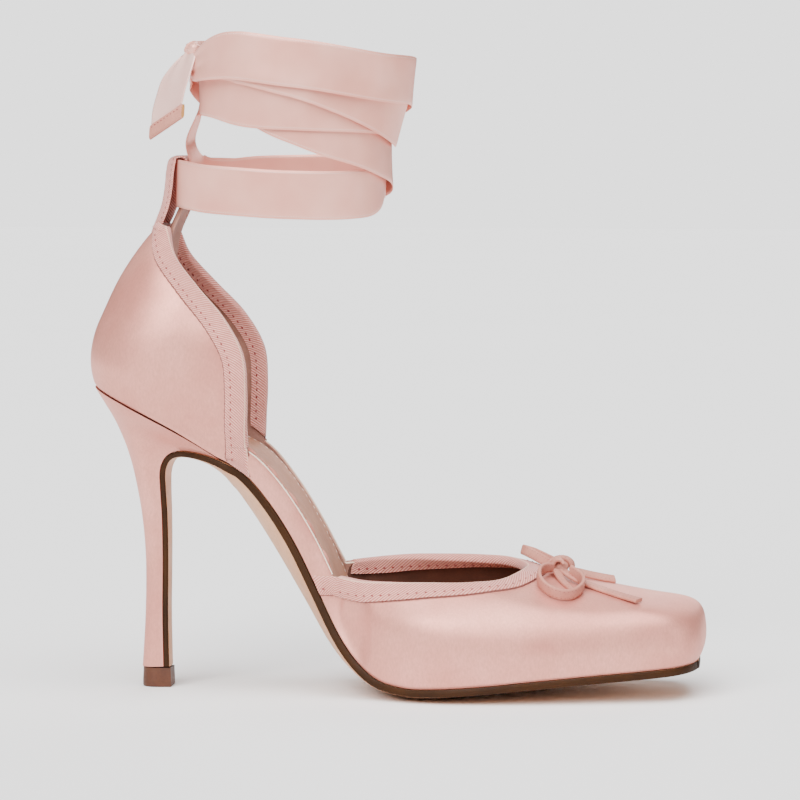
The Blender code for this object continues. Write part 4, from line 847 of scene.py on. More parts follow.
# Painted shade: colour of the dark cords drawn where cloth runs in under a tape's edge
PAINTED_SEAM_SHADOW = thread_finish("painted_seam_shadow", tone(150, 92, 82), tone(112, 60, 54))
# Cream thread of the sock's stitches, also the painted highlight along the waist strips' edges
CREAM_THREAD_AND_HIGHLIGHT = thread_finish("cream_thread_and_painted_highlight", tone(248, 230, 214), tone(226, 198, 176))
SOLE_SIDE = leather_finish("sole_side", tone(60, 33, 9), tone(40, 21, 5), 0.62, 300.0, 0.03, 0.15)
SOLE_BASE = leather_finish("sole_base", tone(218, 166, 128), tone(198, 142, 104), 0.5, 260.0)
SOCK = leather_finish("sock_leather", tone(196, 140, 112), tone(172, 118, 94), 0.6, 380.0, 0.05,
                      0.25)
TIP_RUBBER = leather_finish("tip_rubber_brown", tone(92, 50, 28), tone(66, 34, 18), 0.5, 520.0)
RIBBON_SATIN = ribbon_finish("ribbon_cloth", tone(243, 178, 161), tone(233, 161, 144))
# Painted light: a paler copy of the ribbon's satin for the near tail, which is the same ribbon, where
# it catches the light
LIT_TAIL_SATIN = ribbon_finish("tail_cloth_painted_light", tone(248, 206, 194), tone(242, 192, 180))
BOW_LEATHER = leather_finish("bow_leather", tone(204, 142, 125), tone(182, 117, 102), 0.6, 600.0,
                             0.03, 0.2)
CUT_EDGE = leather_finish("cut_edge", tone(206, 158, 96), tone(172, 122, 70))


# ---------------------------------------------------------------- threads and edges
HEXAGON = [(math.cos(a), math.sin(a)) for a in np.arange(6) * math.pi / 3.0]
# How thick a stitch is at places along it, and how far it sinks in there, by its radius
STITCH = ((0.35, 0.9), (0.9, 0.2), (1.0, 0.0), (0.9, 0.2), (0.35, 0.9))


def thread_ring(centre, first, second, radius):
    """Six points round a thread."""
    return [centre + radius * (first * c + second * s) for c, s in HEXAGON]


def stitches(net, line, outward, length, pitch, radius, margin=0.0):
    """A row of stitches along a line. outward is the way they stand up off the cloth."""
    for k in range(int((arc_length(line)[-1] - 2.0 * margin) / pitch)):
        places = margin + (k + 0.5) * pitch + length * np.linspace(-0.5, 0.5, len(STITCH))
        points, ways = points_along(line, places), points_along(line, places, outward)
        rings = []
        for point, up, (plump, sunk) in zip(points, ways, STITCH):
            up = unit(up)
            side = unit(np.cross(up, points[-1] - points[0]))
            rings.append(thread_ring(point - up * sunk * radius, side, up, radius * plump))
        net.loft(rings)


def thin_cord(net, line, radii, finish, level=(0.0, 1.0, 0.0)):
    """Round cord along a line, with a radius for each point. level is a way that the line
    doesn't run in."""
    rings = []
    for point, way, radius in zip(line, np.gradient(line, axis=0), radii):
        side = unit(np.cross(way, level))
        rings.append(thread_ring(point, side, unit(np.cross(side, way)), radius))
    net.loft(rings, finish)


def seam_shadow_cord(net, line, pitch, heft):
    """Dark cord of painted shade along the gathered line where the cloth runs in under the edge of a
    tape.
    """
    places = np.arange(0.4, arc_length(line)[-1] - 0.4, 0.22)
    swell = 0.5 + 0.5 * np.sin(math.tau * places / pitch)
    thin_cord(net, points_along(line, places), heft * (0.19 + 0.15 * swell ** 3), finish=1,
              level=(0.3, 1.0, 0.2))


# ---------------------------------------------------------------- upper
BAND_ROWS = 11            # points up the waist strip, and up the counter as far as its top
BAND_SPACING = np.linspace(0.0, 1.0, BAND_ROWS) ** 1.6
BAND_LEVEL = 0.12         # of the counter, where the waist strip's top meets it
BAND_TOP_X = COUNTER_EDGE_X - 4.6       # where the strip's upper edge meets the counter
COUNTER_MIDDLE_X = -72.0
GATHER_PITCH = 11.6       # of the satin turned in along the waist strip

# Finishes of the shell, each outer one followed by those of its lining and its rim
SHELL = [SATIN, LINING, TURNED_EDGE, SATIN, VAMP_LINING_PAINTED_SHADE, TURNED_EDGE]
VAMP_FINISH = 3


def tucked_in(point, share, amount):
    """A point of the counter near its lower edge, turned in under it."""
    inward = np.array([COUNTER_MIDDLE_X - point[0], -point[1], 0.0])
    depth = 0.75 * amount * max(0.0, 1.0 - share) ** 2
    return point + inward / max(np.linalg.norm(inward), 1.0) * depth


def build_waist_edges(tops):
    """A pale cord of painted highlight along the top edge of each waist strip, and on the near one
    the gathers behind it.
    """
    net = Net()
    for side in SIDES:
        line = resample(tops[side][1:-1], np.linspace(0.0, 1.0, 150))
        # Painted highlight: a pale cord along the strip's top edge
        thin_cord(net, line + [0.0, 0.0, 0.1], np.full(150, 0.24), 0)
        swell = np.sin((arc_length(line) / GATHER_PITCH + 0.2) * math.tau)
        swell = np.maximum(0.0, swell) ** 0.7 * (side == NEAR)
        thin_cord(net, line + [0.0, -side * 2.2, 0.7 * (side == NEAR)], 0.12 + 0.55 * swell, 1)
    net.make("waist_edges", [CREAM_THREAD_AND_HIGHLIGHT, SATIN], "satin")


def waist_columns(side, first):
    """Columns of the waist strip, from the counter's edge to the vamp's rear corner."""
    columns = [first]
    for share in np.linspace(0.0, 1.0, 25)[1:]:
        low = feather_point(COUNTER_EDGE_X + (VAMP_REAR_X - COUNTER_EDGE_X) * share, side)
        high = band_top(BAND_TOP_X + (VAMP_REAR_X - BAND_TOP_X) * share, side)
        ease = first[-1][1] - band_top(BAND_TOP_X, side)[1]
        high[1] += (1.0 - smooth_step(share / 0.4)) * ease
        high += (topline_point(TOP_REAR_X, side) - high) * smooth_step((share - 0.86) / 0.14)
        columns.append([low + (high - low) * t + [0.0, side * 0.6 * math.sin(math.pi * t), 0.0]
                        for t in BAND_SPACING])
    return columns


def build_upper():
    """Satin shell with the lining inside it, open over the waist."""
    net, tops = Net(), {}
    levels = np.concatenate([BAND_SPACING * BAND_LEVEL, np.linspace(BAND_LEVEL, 1.0, 48)[1:]])
    turns = np.concatenate([np.linspace(0.035, 0.8, 60), np.linspace(0.8, 1.0, 34)[1:]])
    for side in SIDES:
        flip = side == NEAR
        rows = [[tucked_in(counter_point(level, share, side), level / 0.03,
                           smooth_step((1.0 - share) / 0.1))
                 for share in np.linspace(0.0, 1.0, 44) ** 1.7] for level in levels]
        net.grid(rows, flip=not flip)
        columns = waist_columns(side, [row[-1] for row in rows[:BAND_ROWS]])
        net.grid(columns, flip=flip)
        tops[side] = np.array([column[-1] for column in columns])
        vamp = [vamp_column(turn, side, np.linspace(0.0, 1.0, 46)) for turn in turns]
        net.bridge(columns[-1], vamp[0], flip)
        net.grid(vamp, VAMP_FINISH, flip=flip)
    made = net.make("upper_satin", SHELL, "satin", "upper", weld=0.03, heart=(-20.0, 0.0, 40.0))
    shell = made.modifiers.new("wall", "SOLIDIFY")
    shell.thickness, shell.offset, shell.use_even_offset = WALL * MM, -1.0, True
    shell.material_offset, shell.material_offset_rim = 1, 2
    build_waist_edges(tops)


# ---------------------------------------------------------------- bindings
OFF_OUT = GAP + BINDING_THICK
OFF_IN = -WALL - GAP - BINDING_THICK
LEG_SHOWN = 4.8           # width of a binding's leg inside the shoe, where it is dressed
LEG_POINTS = 7            # across the outer leg
STEP = 0.004              # between neighbouring places, as a share of a face

# The outer leg of the vamp's tape runs on behind the vamp's corner, across the waist, down
# to the sole: x and z of that stretch's end, at the leg's lower edge and at its fold
TAPE_TAIL = ((-25.7, 35.4), (-28.6, 42.1))

# One section of a tape: where it starts on its face and which way it runs in, a point in
# the heart of the shoe, and the scale and the widths of its legs
Station = namedtuple("Station", "start aim heart scale inner outer folded",
                     defaults=[1.0, LEG_SHOWN, BINDING_WIDTH, True])


def face_normal(face_at, u, v, heart):
    """Unit normal of a face at (u, v), pointing away from a point in its heart."""
    low_u, high_u = max(u - STEP, 0.0), min(u + STEP, 1.0)
    low_v, high_v = max(v - STEP, 0.0), min(v + STEP, 1.0)
    normal = unit(np.cross(face_at(high_u, v) - face_at(low_u, v),
                           face_at(u, high_v) - face_at(u, low_v)))
    return normal if normal @ (face_at(u, v) - heart) > 0.0 else -normal


def fold_ring(face_at, station, section, outer):
    """Ring of a tape at one station. section is its depths in from the edge and its heights
    off the face, and outer limits the width of the outer leg."""
    reach = np.linspace(0.0, 1.0, 61)
    start, aim = station.start, station.aim
    trail = np.array([face_at(start[0] + aim[0] * t, start[1] + aim[1] * t) for t in reach])
    length, outward = arc_length(trail), unit(trail[0] - trail[1])
    ring = []
    for depth, off in section:
        depth = min(depth, outer if off >= 0.0 else station.inner) * station.scale
        t = np.interp(max(depth, 0.0), length, reach)
        u, v = start[0] + aim[0] * t, start[1] + aim[1] * t
        normal = face_normal(face_at, u, v, station.heart)
        ring.append(face_at(u, v) + outward * max(-depth, 0.0) + normal * off)
    return ring


def counter_aims(level, side):
    """Steps in (level, share) that run in from the counter's front edge and from its upper
    corner, with the scale that the corner's step needs."""
    edge = counter_point(level, 1.0, side)
    rise = (edge - counter_point(level - STEP, 1.0, side)) / STEP
    along = (edge - counter_point(level, 1.0 - STEP, side)) / STEP
    turn, drop = rise @ along / (rise @ rise), along @ rise / (along @ along)
    inward, downward = turn * rise - along, drop * along - rise
    meet = unit(inward) @ unit(downward)
    aim_in = np.array([turn, -1.0]) / np.linalg.norm(inward)
    aim_down = np.array([-1.0, drop]) / np.linalg.norm(downward)
    return aim_in, (aim_in + aim_down) / (1.0 + meet), math.sqrt(2.0 / (1.0 + meet))


def tape_section(folded):
    """Section of a tape folded over an edge, or lying flat beside it, as pairs of depth in
    from the edge and height off the face. Both have the same number of points."""
    rows = [(BINDING_WIDTH * share, OFF_OUT + 0.12 * math.sin(math.pi * share)
             - 0.25 * smooth_step((share - 0.86) / 0.14))
            for share in np.linspace(1.0, 0.0, LEG_POINTS)]
    if folded:
        middle, half, inside = 0.5 * (OFF_OUT + OFF_IN), 0.5 * (OFF_OUT - OFF_IN), -WALL - GAP
        rows += [(-OFF_OUT * math.cos(a), middle + half * math.sin(a))
                 for a in np.radians(np.linspace(90.0, -90.0, 11)[1:-1])]
        rows += [(share * INNER_LEG, OFF_IN) for share in (0.0, 0.25, 0.5, 0.75, 0.97)]
        rows += [(INNER_LEG, 0.5 * (inside + OFF_IN)), (0.97 * INNER_LEG, inside),
                 (0.5 * INNER_LEG, inside), (-GAP, inside), (-GAP, GAP)]
    else:
        low = 1.6 * GAP
        rows += [(-OFF_OUT, OFF_OUT - 0.15), (-OFF_OUT - 0.15, 0.5 * (OFF_OUT + low))]
        rows += [(-OFF_OUT, low)] * 16 + [(-GAP, 1.2 * GAP)]
    rows += [(share * BINDING_WIDTH, GAP) for share in (0.33, 0.66, 0.97)]
    return rows + [(BINDING_WIDTH, 0.55 * (GAP + OFF_OUT))]


def vamp_stations(side):
    """Stations of the vamp's tape, from the rear corner to the toe's middle."""
    for turn in np.concatenate([np.linspace(0.045, 0.8, 60), np.linspace(0.8, 1.0, 40)[1:]]):
        line = VAMP_FACE[side].column(turn)
        tall = arc_length(line)[-1]
        yield Station((turn, 1.0), (0.0, -min(1.0, 14.0 / tall)),
                      np.array([line[-1][0] - 10.0, 0.0, 22.0]),
                      inner=min(max(tall - 7.0, 0.5), LEG_SHOWN))


def counter_stations(side):
    """Stations of the counter's tape: flat at the waist, up the edge, along the top."""
    reach = 13.0
    for level in np.concatenate([np.linspace(0.0, 0.124, 12), np.linspace(0.128, 0.955, 52)]):
        aim_in = counter_aims(max(level, 0.01), side)[0]
        square = smooth_step(level / BAND_LEVEL)
        heart = np.array([COUNTER_MIDDLE_X, 0.0, counter_point(level, 1.0, side)[2]])
        yield Station((level, 1.0), aim_in * reach * [square, 1.0], heart, 1.2 - 0.2 * square,
                      0.5 + (LEG_SHOWN - 0.5) * smooth_step((level - 0.126) / 0.04),
                      folded=level > 0.126)
    heart = np.array([COUNTER_MIDDLE_X, 0.0, 158.0])
    corner, scale = counter_aims(1.0, side)[1:]
    yield Station((1.0, 1.0), corner * reach, heart, scale)
    for share in (0.8, 0.62, 0.45, 0.3, 0.18, 0.1, 0.05, 0.025, 0.01, 0.0):
        yield Station((1.0, share), (-0.22, 0.0), heart, outer=2.4)


def tail_rings(sewing, first, side, rays, pitch):
    """The outer leg's flat stretch on the waist's face, as rings that end in the ring that
    the folded tape starts with."""
    low, high = (np.array([x, 0.0, z]) for x, z in TAPE_TAIL)
    last = LEG_POINTS - 1
    outer = [(k, k / last, 0.3 if k in (0, last) else 0.6) for k in range(LEG_POINTS)]
    inner = [(k, height, -0.15) for k, height in zip(range(-5, 0), (1.0, 0.67, 0.34, 0.03, 0.0))]
    rings = []
    for share in np.linspace(1.0, 0.0, 15):
        ring = []
        for k, height, depth in outer + inner:
            spot = first[k] + (low + (high - low) * height - first[k]) * share
            hit = rays.ray_cast((spot[0], side * 60.0, spot[2]), (0.0, -side, 0.0))[0]
            met = hit is not None and abs(hit[1] - first[k][1]) < 3.0
            face = hit[1] if met else first[k][1] - side * OFF_OUT
            blend = smooth_step(share / 0.4)
            spot[1] = first[k][1] * (1.0 - blend) + (face + side * depth) * blend
            ring.append(spot)
        fold = 0.5 * (ring[last] + ring[last + 1])
        rings.append(ring[:LEG_POINTS] + [fold] * (len(first) - len(ring)) + ring[LEG_POINTS:])
    row = np.array([ring[2] for ring in rings])[::-int(side)]
    stitches(sewing, row, np.tile([0.0, side, 0.0], (len(row), 1)), 1.4, pitch, 0.34, 0.6)
    # Painted shade: a dark cord where the waist's satin runs in under the tape's edge
    seam_shadow_cord(sewing, [ring[0] - [0.0, side * 0.2, 0.15] for ring in rings], pitch, 0.7)
    return rings


def upper_rays():
    """The upper's outer face, in the pattern's millimetres, for rays to meet."""
    mesh = bpy.data.objects["upper_satin"].data
    return BVHTree.FromPolygons([tuple(np.array(v.co) / MM - SHIFT) for v in mesh.vertices],
                                [tuple(face.vertices) for face in mesh.polygons])


def build_binding(name, node, faces, stations, finish, pitch, heft, tails=False):
    """Folded tape along an edge, sewn down near the inner edge of each leg. pitch and heft
    are those of the gathers beside it, drawn as dark cords of painted shade. tails says
    whether its ends run on down the waist."""
    sections = {True: tape_section(True), False: tape_section(False)}
    marks = {"out": (4.6, OFF_OUT - 0.02, OFF_OUT + 0.9),
             "in": (2.9, OFF_IN + 0.02, OFF_IN - 0.9),
             "edge": (BINDING_WIDTH + 0.12, GAP - 0.12, GAP + 0.9),
             "rim": (-OFF_OUT - 0.2, GAP - 0.1, GAP + 0.9)}
    rings, sewing = {}, Net()
    for side in SIDES:
        rings[side] = []
        lines = {leg: [] for leg in marks}
        for s in stations(side):
            rings[side].append(fold_ring(faces[side], s, sections[s.folded], s.outer))
            for leg, (depth, low, high) in marks.items():
                skipped = leg == "rim" and s.folded or leg == "in" and s.inner < 4.0
                if s.outer == BINDING_WIDTH and not skipped:
                    lines[leg].append(fold_ring(faces[side], s, ((depth, low), (depth, high)),
                                                BINDING_WIDTH + 1.0))
        for leg, pairs in lines.items():
            if not pairs:
                continue
            low, high = np.array(pairs).transpose(1, 0, 2)
            # Painted shade: dark cords along the tape's edge, and along its rim where it lies flat
            if leg in ("edge", "rim"):
                seam_shadow_cord(sewing, low, pitch, heft)
            else:
                stitches(sewing, low, high - low, 1.4, pitch, 0.34, 1.0)
    if tails:
        rays = upper_rays()
        for side in SIDES:
            rings[side] = tail_rings(sewing, rings[side][0], side, rays, pitch) + rings[side]
    Net().loft(rings[NEAR] + rings[FAR][-2::-1]).make(name, [finish], "grosgrain", node)
    sewing.make(name + "_stitches", [THREAD, PAINTED_SEAM_SHADOW], "grosgrain")


# ---------------------------------------------------------------- sole, sock and heel
SOLE_POINTS = 15          # across the foot
OPEN_REAR_X, OPEN_FRONT_X = -58.0, -18.0    # the stretch of sock that shows at the waist


def across_foot(near, far, count):
    """Places across the foot: each as a share from -1 to 1, and its y."""
    return [(t, (far if t > 0 else near) * t) for t in np.linspace(-1.0, 1.0, count)]


def sole_ring(centre, normal, near, far, crown, edge, dome):
    """Ring of the outsole: inner face, rounded far edge, underside, rounded near edge."""
    inner, under = [], []
    for t, y in across_foot(near, far, SOLE_POINTS):
        middle = 1.0 - t * t
        place = centre + [0.0, y, 0.0]
        inner.append(place - normal * (crown * middle))
        below = place - normal * (edge + dome * middle)
        below[2] = max(below[2], 0.0)
        under.append(below)
    ring = []
    for line, start, end, way in ((inner, inner[-1], under[-1], 0.35),
                                  (under[::-1], under[0], inner[0], -0.35)):
        ring += line + [start + (end - start) * s + [0.0, way * bulge, 0.0]
                        for s, bulge in ((0.12, 0.7), (0.5, 1.0), (0.88, 0.7))]
    return ring


def build_outsole():
    rings = []
    for x in np.concatenate([TOE_X - np.array([0.0, 0.4, 1.0, 1.8, 3.0, 5.0, 8.0]),
                             np.linspace(94.0, -53.0, 66)]):
        normal = feather_normal(x)
        centre = np.array([x, 0.0, feather_z(x)]) - normal * GAP
        near, far = max(feather_half(x, NEAR), 9.0), max(feather_half(x, FAR), 9.6)
        rings.append(sole_ring(centre, normal, near, far, feather_crown(x), SOLE_EDGE,
                               dome_drop(x)))
    for row in dense(BREAST, 46):
        lean = math.radians(row.tilt)
        rings.append(sole_ring(np.array([row.x, 0.0, row.z]),
                               np.array([math.sin(lean), 0.0, math.cos(lean)]), row.half,
                               row.half, 0.0, row.edge, row.dome))
    net = Net().loft(rings, ([1] * (SOLE_POINTS - 1) + [0] * 4) * 2)
    net.make("sole_dressed", [SOLE_SIDE, SOLE_BASE], "sole_leather", "outsole", 50.0)


def build_insole():
    """Padded sock, puckered along its edge where the shoe is open, and its stitches."""
    board, rings, edges = curves(INSOLE), [], {NEAR: [], FAR: []}
    for x in np.concatenate([np.linspace(102.3, 95.0, 8), np.linspace(93.0, -96.0, 150),
                             np.linspace(-97.0, -104.8, 9)]):
        inset, normal = board["inset"](x), feather_normal(x)
        near, far = feather_half(x, NEAR, inset), feather_half(x, FAR, inset)
        opened = smooth_step((x - OPEN_REAR_X) / 8.0) * smooth_step((OPEN_FRONT_X - x) / 8.0)
        under, top = [], []
        for t, y in across_foot(near, far, 29):
            foot = np.array([x, y, feather_z(x)])
            near_edge = smooth_step((abs(t) - 0.72) / 0.2) * smooth_step((1.0 - abs(t)) / 0.06)
            pucker = opened * near_edge * wave(x, (0.16, 0.29, 0.1 * t), (0.09, 0.51, 0.3))
            roll = 0.5 * smooth_step((abs(t) - 0.96) / 0.04)
            middle = 1.0 - t * t
            under.append(foot - normal * (feather_crown(x) * middle))
            top.append(foot + normal * (board["thick"](x) - 0.5 * middle + pucker - roll))
        if -84.0 < x < 40.0:
            edges[NEAR].append(top[2])
            edges[FAR].append(top[-3])
        rings.append(under + top[::-1])
    Net().loft(rings).make("sock_dressed", [SOCK], "lining_leather", "insole", 50.0)
    sewing = Net()
    for line in edges.values():
        stitches(sewing, line, np.tile([0.0, 0.0, 1.0], (len(line), 1)), 1.6, 2.5, 0.24)
    sewing.make("sock_stitches", [CREAM_THREAD_AND_HIGHLIGHT], "lining_leather")


def heel_rows(rows, fronts, count):
    """Fine D-shaped rings of the heel or its tip, from the near corner round to the far.
    fronts has the x, z and half width of each row's front edge."""
    wanted = np.linspace(0.0, len(rows) - 1.0, count)
    fronts = zip(*(spline(range(len(rows)), column)(wanted) for column in zip(*fronts)))
    rings = []
    for row, (front_x, front_z, front_half) in zip(dense(rows, count), fronts):
        sides = {NEAR: [], FAR: []}
        for share in np.linspace(0.0, 1.0, 26) ** 1.8:
            x = row.x + (front_x - row.x) * share
            z = row.z + (front_z - row.z) * share + row.arch * 4.0 * share * (1.0 - share)
            half = row.width + (front_half - row.width) * smooth_step((share - 0.3) / 0.7)
            half = half * round_end((x - row.x) / row.round, 2.0)
            for side in SIDES:
                sides[side].append(np.array([x, side * half, z]))
        rings.append(sides[NEAR][::-1] + sides[FAR][1:])
    return rings


def build_heel():
    fronts = [(row.x + GAP * math.sin(math.radians(row.tilt)),
               row.z + GAP * math.cos(math.radians(row.tilt)), row.half) for row in BREAST[1:]]
    net = Net().loft(heel_rows(HEEL, fronts, 56))
    net.make("heel_satin", [SATIN], "satin", "heel_block", 50.0)
    net = Net().loft(heel_rows(TIP, [(row.front, row.z, TIP_FRONT_HALF) for row in TIP], 13))
    net.make("heel_tip_dressed", [TIP_RUBBER], "tip_rubber", "heel_tip", 35.0)


# ---------------------------------------------------------------- ribbon
def strip_rings(middle, across, widths, thick, count, lift):
    """Rings of a soft strip and their UVs. lift(length along, share across) moves its face
    outwards."""
    spans = np.linspace(1.0, -1.0, count)
    marks = [0.5 * RIBBON_WIDTH * t for t in (*spans, -1.0, *spans[::-1], 1.0)]
    rings, uvs = [], []
    for centre, along, side, width, fat, far in zip(middle, np.gradient(middle, axis=0), across,
                                                    widths, thick, arc_length(middle)):
        side = unit(np.asarray(side, float))
        face = unit(np.cross(along, side))
        front, back = [], []
        for t in spans:
            rise = lift(far, t)
            slim = 0.5 * fat * (1.0 - 0.45 * smooth_step((abs(t) - 0.85) / 0.15))
            base = centre + side * (0.5 * width * t)
            front.append(base + face * (rise + slim))
            back.append(base + face * (rise - slim))
        low, high = (centre + side * (way * (0.5 * width + 0.1)) + face * lift(far, way)
                     for way in (-1.0, 1.0))
        rings.append([*front, low, *back[::-1], high])
        uvs.append([(far, v) for v in marks])
    return rings, uvs


def build_ribbon():
    """The ribbon wound round the ankle's place, gathered towards the knot at both ends."""
    fine = np.linspace(RIBBON[0].turn, RIBBON[-1].turn, 6000)
    travelled = arc_length(wrapped(RIBBON, fine)[0])
    length = travelled[-1]
    turns = np.interp(np.linspace(0.0, length, round(length / 1.3) + 1), travelled, fine)
    middle, across = (smoothed(line, 4) for line in wrapped(RIBBON, turns))
    gathered = round_end((RIBBON[-1].turn - turns) / GATHER, 2.0)
    low, high = (np.maximum(curves(tucks)["amount"](turns), 0.0)
                 for tucks in (LOW_TUCKS, HIGH_TUCKS))
    middle = middle + across * 0.5 * (low - high)[:, None]
    widths = GATHERED_WIDTH + (RIBBON_WIDTH - GATHERED_WIDTH) * gathered - low - high
    thick = GATHERED_THICK + (RIBBON_THICK - GATHERED_THICK) * gathered

    def lift(far, t):
        pleats = 0.3 * math.exp(-min(far, length - far) / 12.0)
        sway = 0.07 * t * wave(far, (1.0, 1.0 / 47.0, 0.1), (0.8, 1.0 / 29.0, 0.4))
        return pleats * math.cos(2.5 * math.pi * (t - 1.0)) + 0.1 * t * t + sway

    net = Net().strip(*strip_rings(middle, across, widths, thick, 13, lift))
    return net.make("ribbon_wound", [RIBBON_SATIN], "ribbon_satin", "ankle_ribbon", 60.0), length


def pleated_ring(net, centre, axis, up, radii, wide):
    """A turn of gathered ribbon round a knot: axis is what it goes round."""
    axis, up = unit(np.array(axis)), np.array(up)
    up = unit(up - axis * (up @ axis))
    side = np.cross(axis, up)
    rings = []
    for angle in np.linspace(0.0, math.tau, 73):
        out = up * math.cos(angle) * radii[0] + side * math.sin(angle) * radii[1]
        pinch = 1.0 - 0.22 * math.cos(angle - 0.6)
        ring = []
        for part in np.linspace(0.0, math.tau, 41)[:-1]:
            across = math.cos(part)
            rise = 0.45 * math.sin(part) * (1.0 - 0.5 * across ** 4)
            fold = 0.22 * math.cos(math.tau * across + 0.8 * math.sin(angle))
            ring.append(centre + out + axis * (0.5 * wide * pinch * across)
                        + unit(out) * (rise + (fold if rise > 0.0 else 0.6 * fold)))
        rings.append(ring)
    net.loft(rings, ends=False)


def knot_core(net, rows, count, around, size, pleat, folds, twist, drop=0.0):
    """Pleated core of a knot: size and pleat are shares of its rows' half sizes."""
    rings = []
    for row in dense(rows, count):
        ring = []
        for angle in np.arange(around) * math.tau / around:
            share = size - pleat * abs(math.sin(folds * angle + twist * row.y))
            ring.append((row.x + share * row.half_x * math.cos(angle), row.y,
                         row.z - drop + share * row.half_z * math.sin(angle)))
        rings.append(ring)
    net.loft(rings)


def build_ribbon_knot():
    """Pulled-tight knot: a pleated core, with two turns of ribbon round it."""
    net = Net()
    knot_core(net, RIBBON_KNOT, 34, 72, 0.864, 0.072, 3.5, 0.35)
    pleated_ring(net, (-70.6, -9.2, 223.6), (0.72, -0.25, -0.62), (0.5, 0.2, 0.8), (2.6, 4.4), 4.4)
    pleated_ring(net, (-71.6, -4.6, 223.4), (0.6, 0.5, 0.5), (-0.5, 0.1, 0.8), (2.6, 3.4), 3.8)
    net.make("ribbon_knot_tied", [RIBBON_SATIN], "ribbon_satin", "ribbon_knot", 60.0)


def tail_tip(name, node, end, drop, across, width):
    """Leather end folded over the ribbon and sewn across its top."""
    drop, across = unit(drop), unit(np.array(across))
    face = unit(np.cross(drop, across))
    spans = np.linspace(-1.0, 1.0, 25)
    rings = []
    for share in np.linspace(0.0, 1.0, 15):
        centre = end + drop * (GAP + TIP_LENGTH * share)
        fat = math.sqrt(max(0.05, 1.0 - max(0.0, share - 0.72) ** 2 / 0.085))
        fat *= 0.72 + 0.28 * smooth_step(share / 0.25)
        places = [centre + across * (0.5 * width * t) for t in spans]
        slim = [fat * (1.0 - 0.25 * t ** 8) for t in spans]
        ripple = [0.1 * wave(t, (1.0, 2.6, 0.1), (0.7, 4.3, 0.4)) * (1.0 - share) for t in spans]
        rings.append([p + face * (s + r) for p, s, r in zip(places, slim, ripple)]
                     + [p - face * s for p, s in zip(places, slim)][::-1])
    net, sewing = Net().loft(rings, ([0] * 24 + [1]) * 2), Net()
    made = net.make(name, [BOW_LEATHER, CUT_EDGE], "trim_leather", node, 45.0)
    for way, row in ((1.0, rings[3][:25]), (-1.0, rings[3][25:])):
        stitches(sewing, row, np.tile(face * way, (25, 1)), 1.1, 1.75, 0.2, 0.6)
    return made, sewing.make(name + "_stitches", [THREAD], "trim_leather")


def place_of(row):
    return np.array([row.x, row.y, row.z])


def across_of(row):
    return np.array([row.across_x, row.across_y, row.across_z])


def build_near_tail():
    rows = dense(NEAR_TAIL, 34)
    middle = np.array([place_of(row) for row in rows])
    length = arc_length(middle)[-1]

    def lift(far, t):
        return (0.45 * math.exp(-far / 6.0) * math.cos(2.2 * math.pi * (t + 0.2))
                + 0.3 * t * t * far / length)

    net = Net().strip(*strip_rings(middle, [across_of(row) for row in rows],
                                   [row.width for row in rows], [RIBBON_THICK] * 34, 21, lift))
    # The near tail wears the paler, painted-light copy of the ribbon's satin
    tail = net.make("ribbon_tail_near", [LIT_TAIL_SATIN], "ribbon_satin", "tail_near", 60.0)
    tip = tail_tip("tail_end_near", "tail_tip_near", place_of(NEAR_TAIL[-1]),
                   np.array([-0.05, -0.12, -1.0]), across_of(NEAR_TAIL[-1]), 17.6)
    return tail, length, tip


def build_far_tail():
    line, across = wrapped(FAR_TAIL, np.linspace(FAR_TAIL[0].turn, FAR_TAIL[-1].turn, 34))
    line[:, 2] += 3.0 * smooth_step(np.linspace(1.0, -0.4, 34))
    widths = 6.0 + (RIBBON_WIDTH - 6.0) * smooth_step(np.linspace(0.0, 1.3, 34))

    def lift(far, t):
        return 0.2 * math.exp(-far / 7.0) * math.cos(math.tau * t)

    net = Net().strip(*strip_rings(line, across, widths, [RIBBON_THICK] * 34, 17, lift))
    tail = net.make("ribbon_tail_far", [RIBBON_SATIN], "ribbon_satin", "tail_far", 60.0)
    tip = tail_tip("tail_end_far", "tail_tip_far", line[-1], line[-1] - line[-2], across[-1], 17.4)
    return tail, arc_length(line)[-1], tip


# ---------------------------------------------------------------- tab
TAB_RINGS, TAB_POINTS = 103, 19     # along the tape and across it
TAB_BEND = 55             # rings up to the tab's bend
TAB_THICK = 0.72


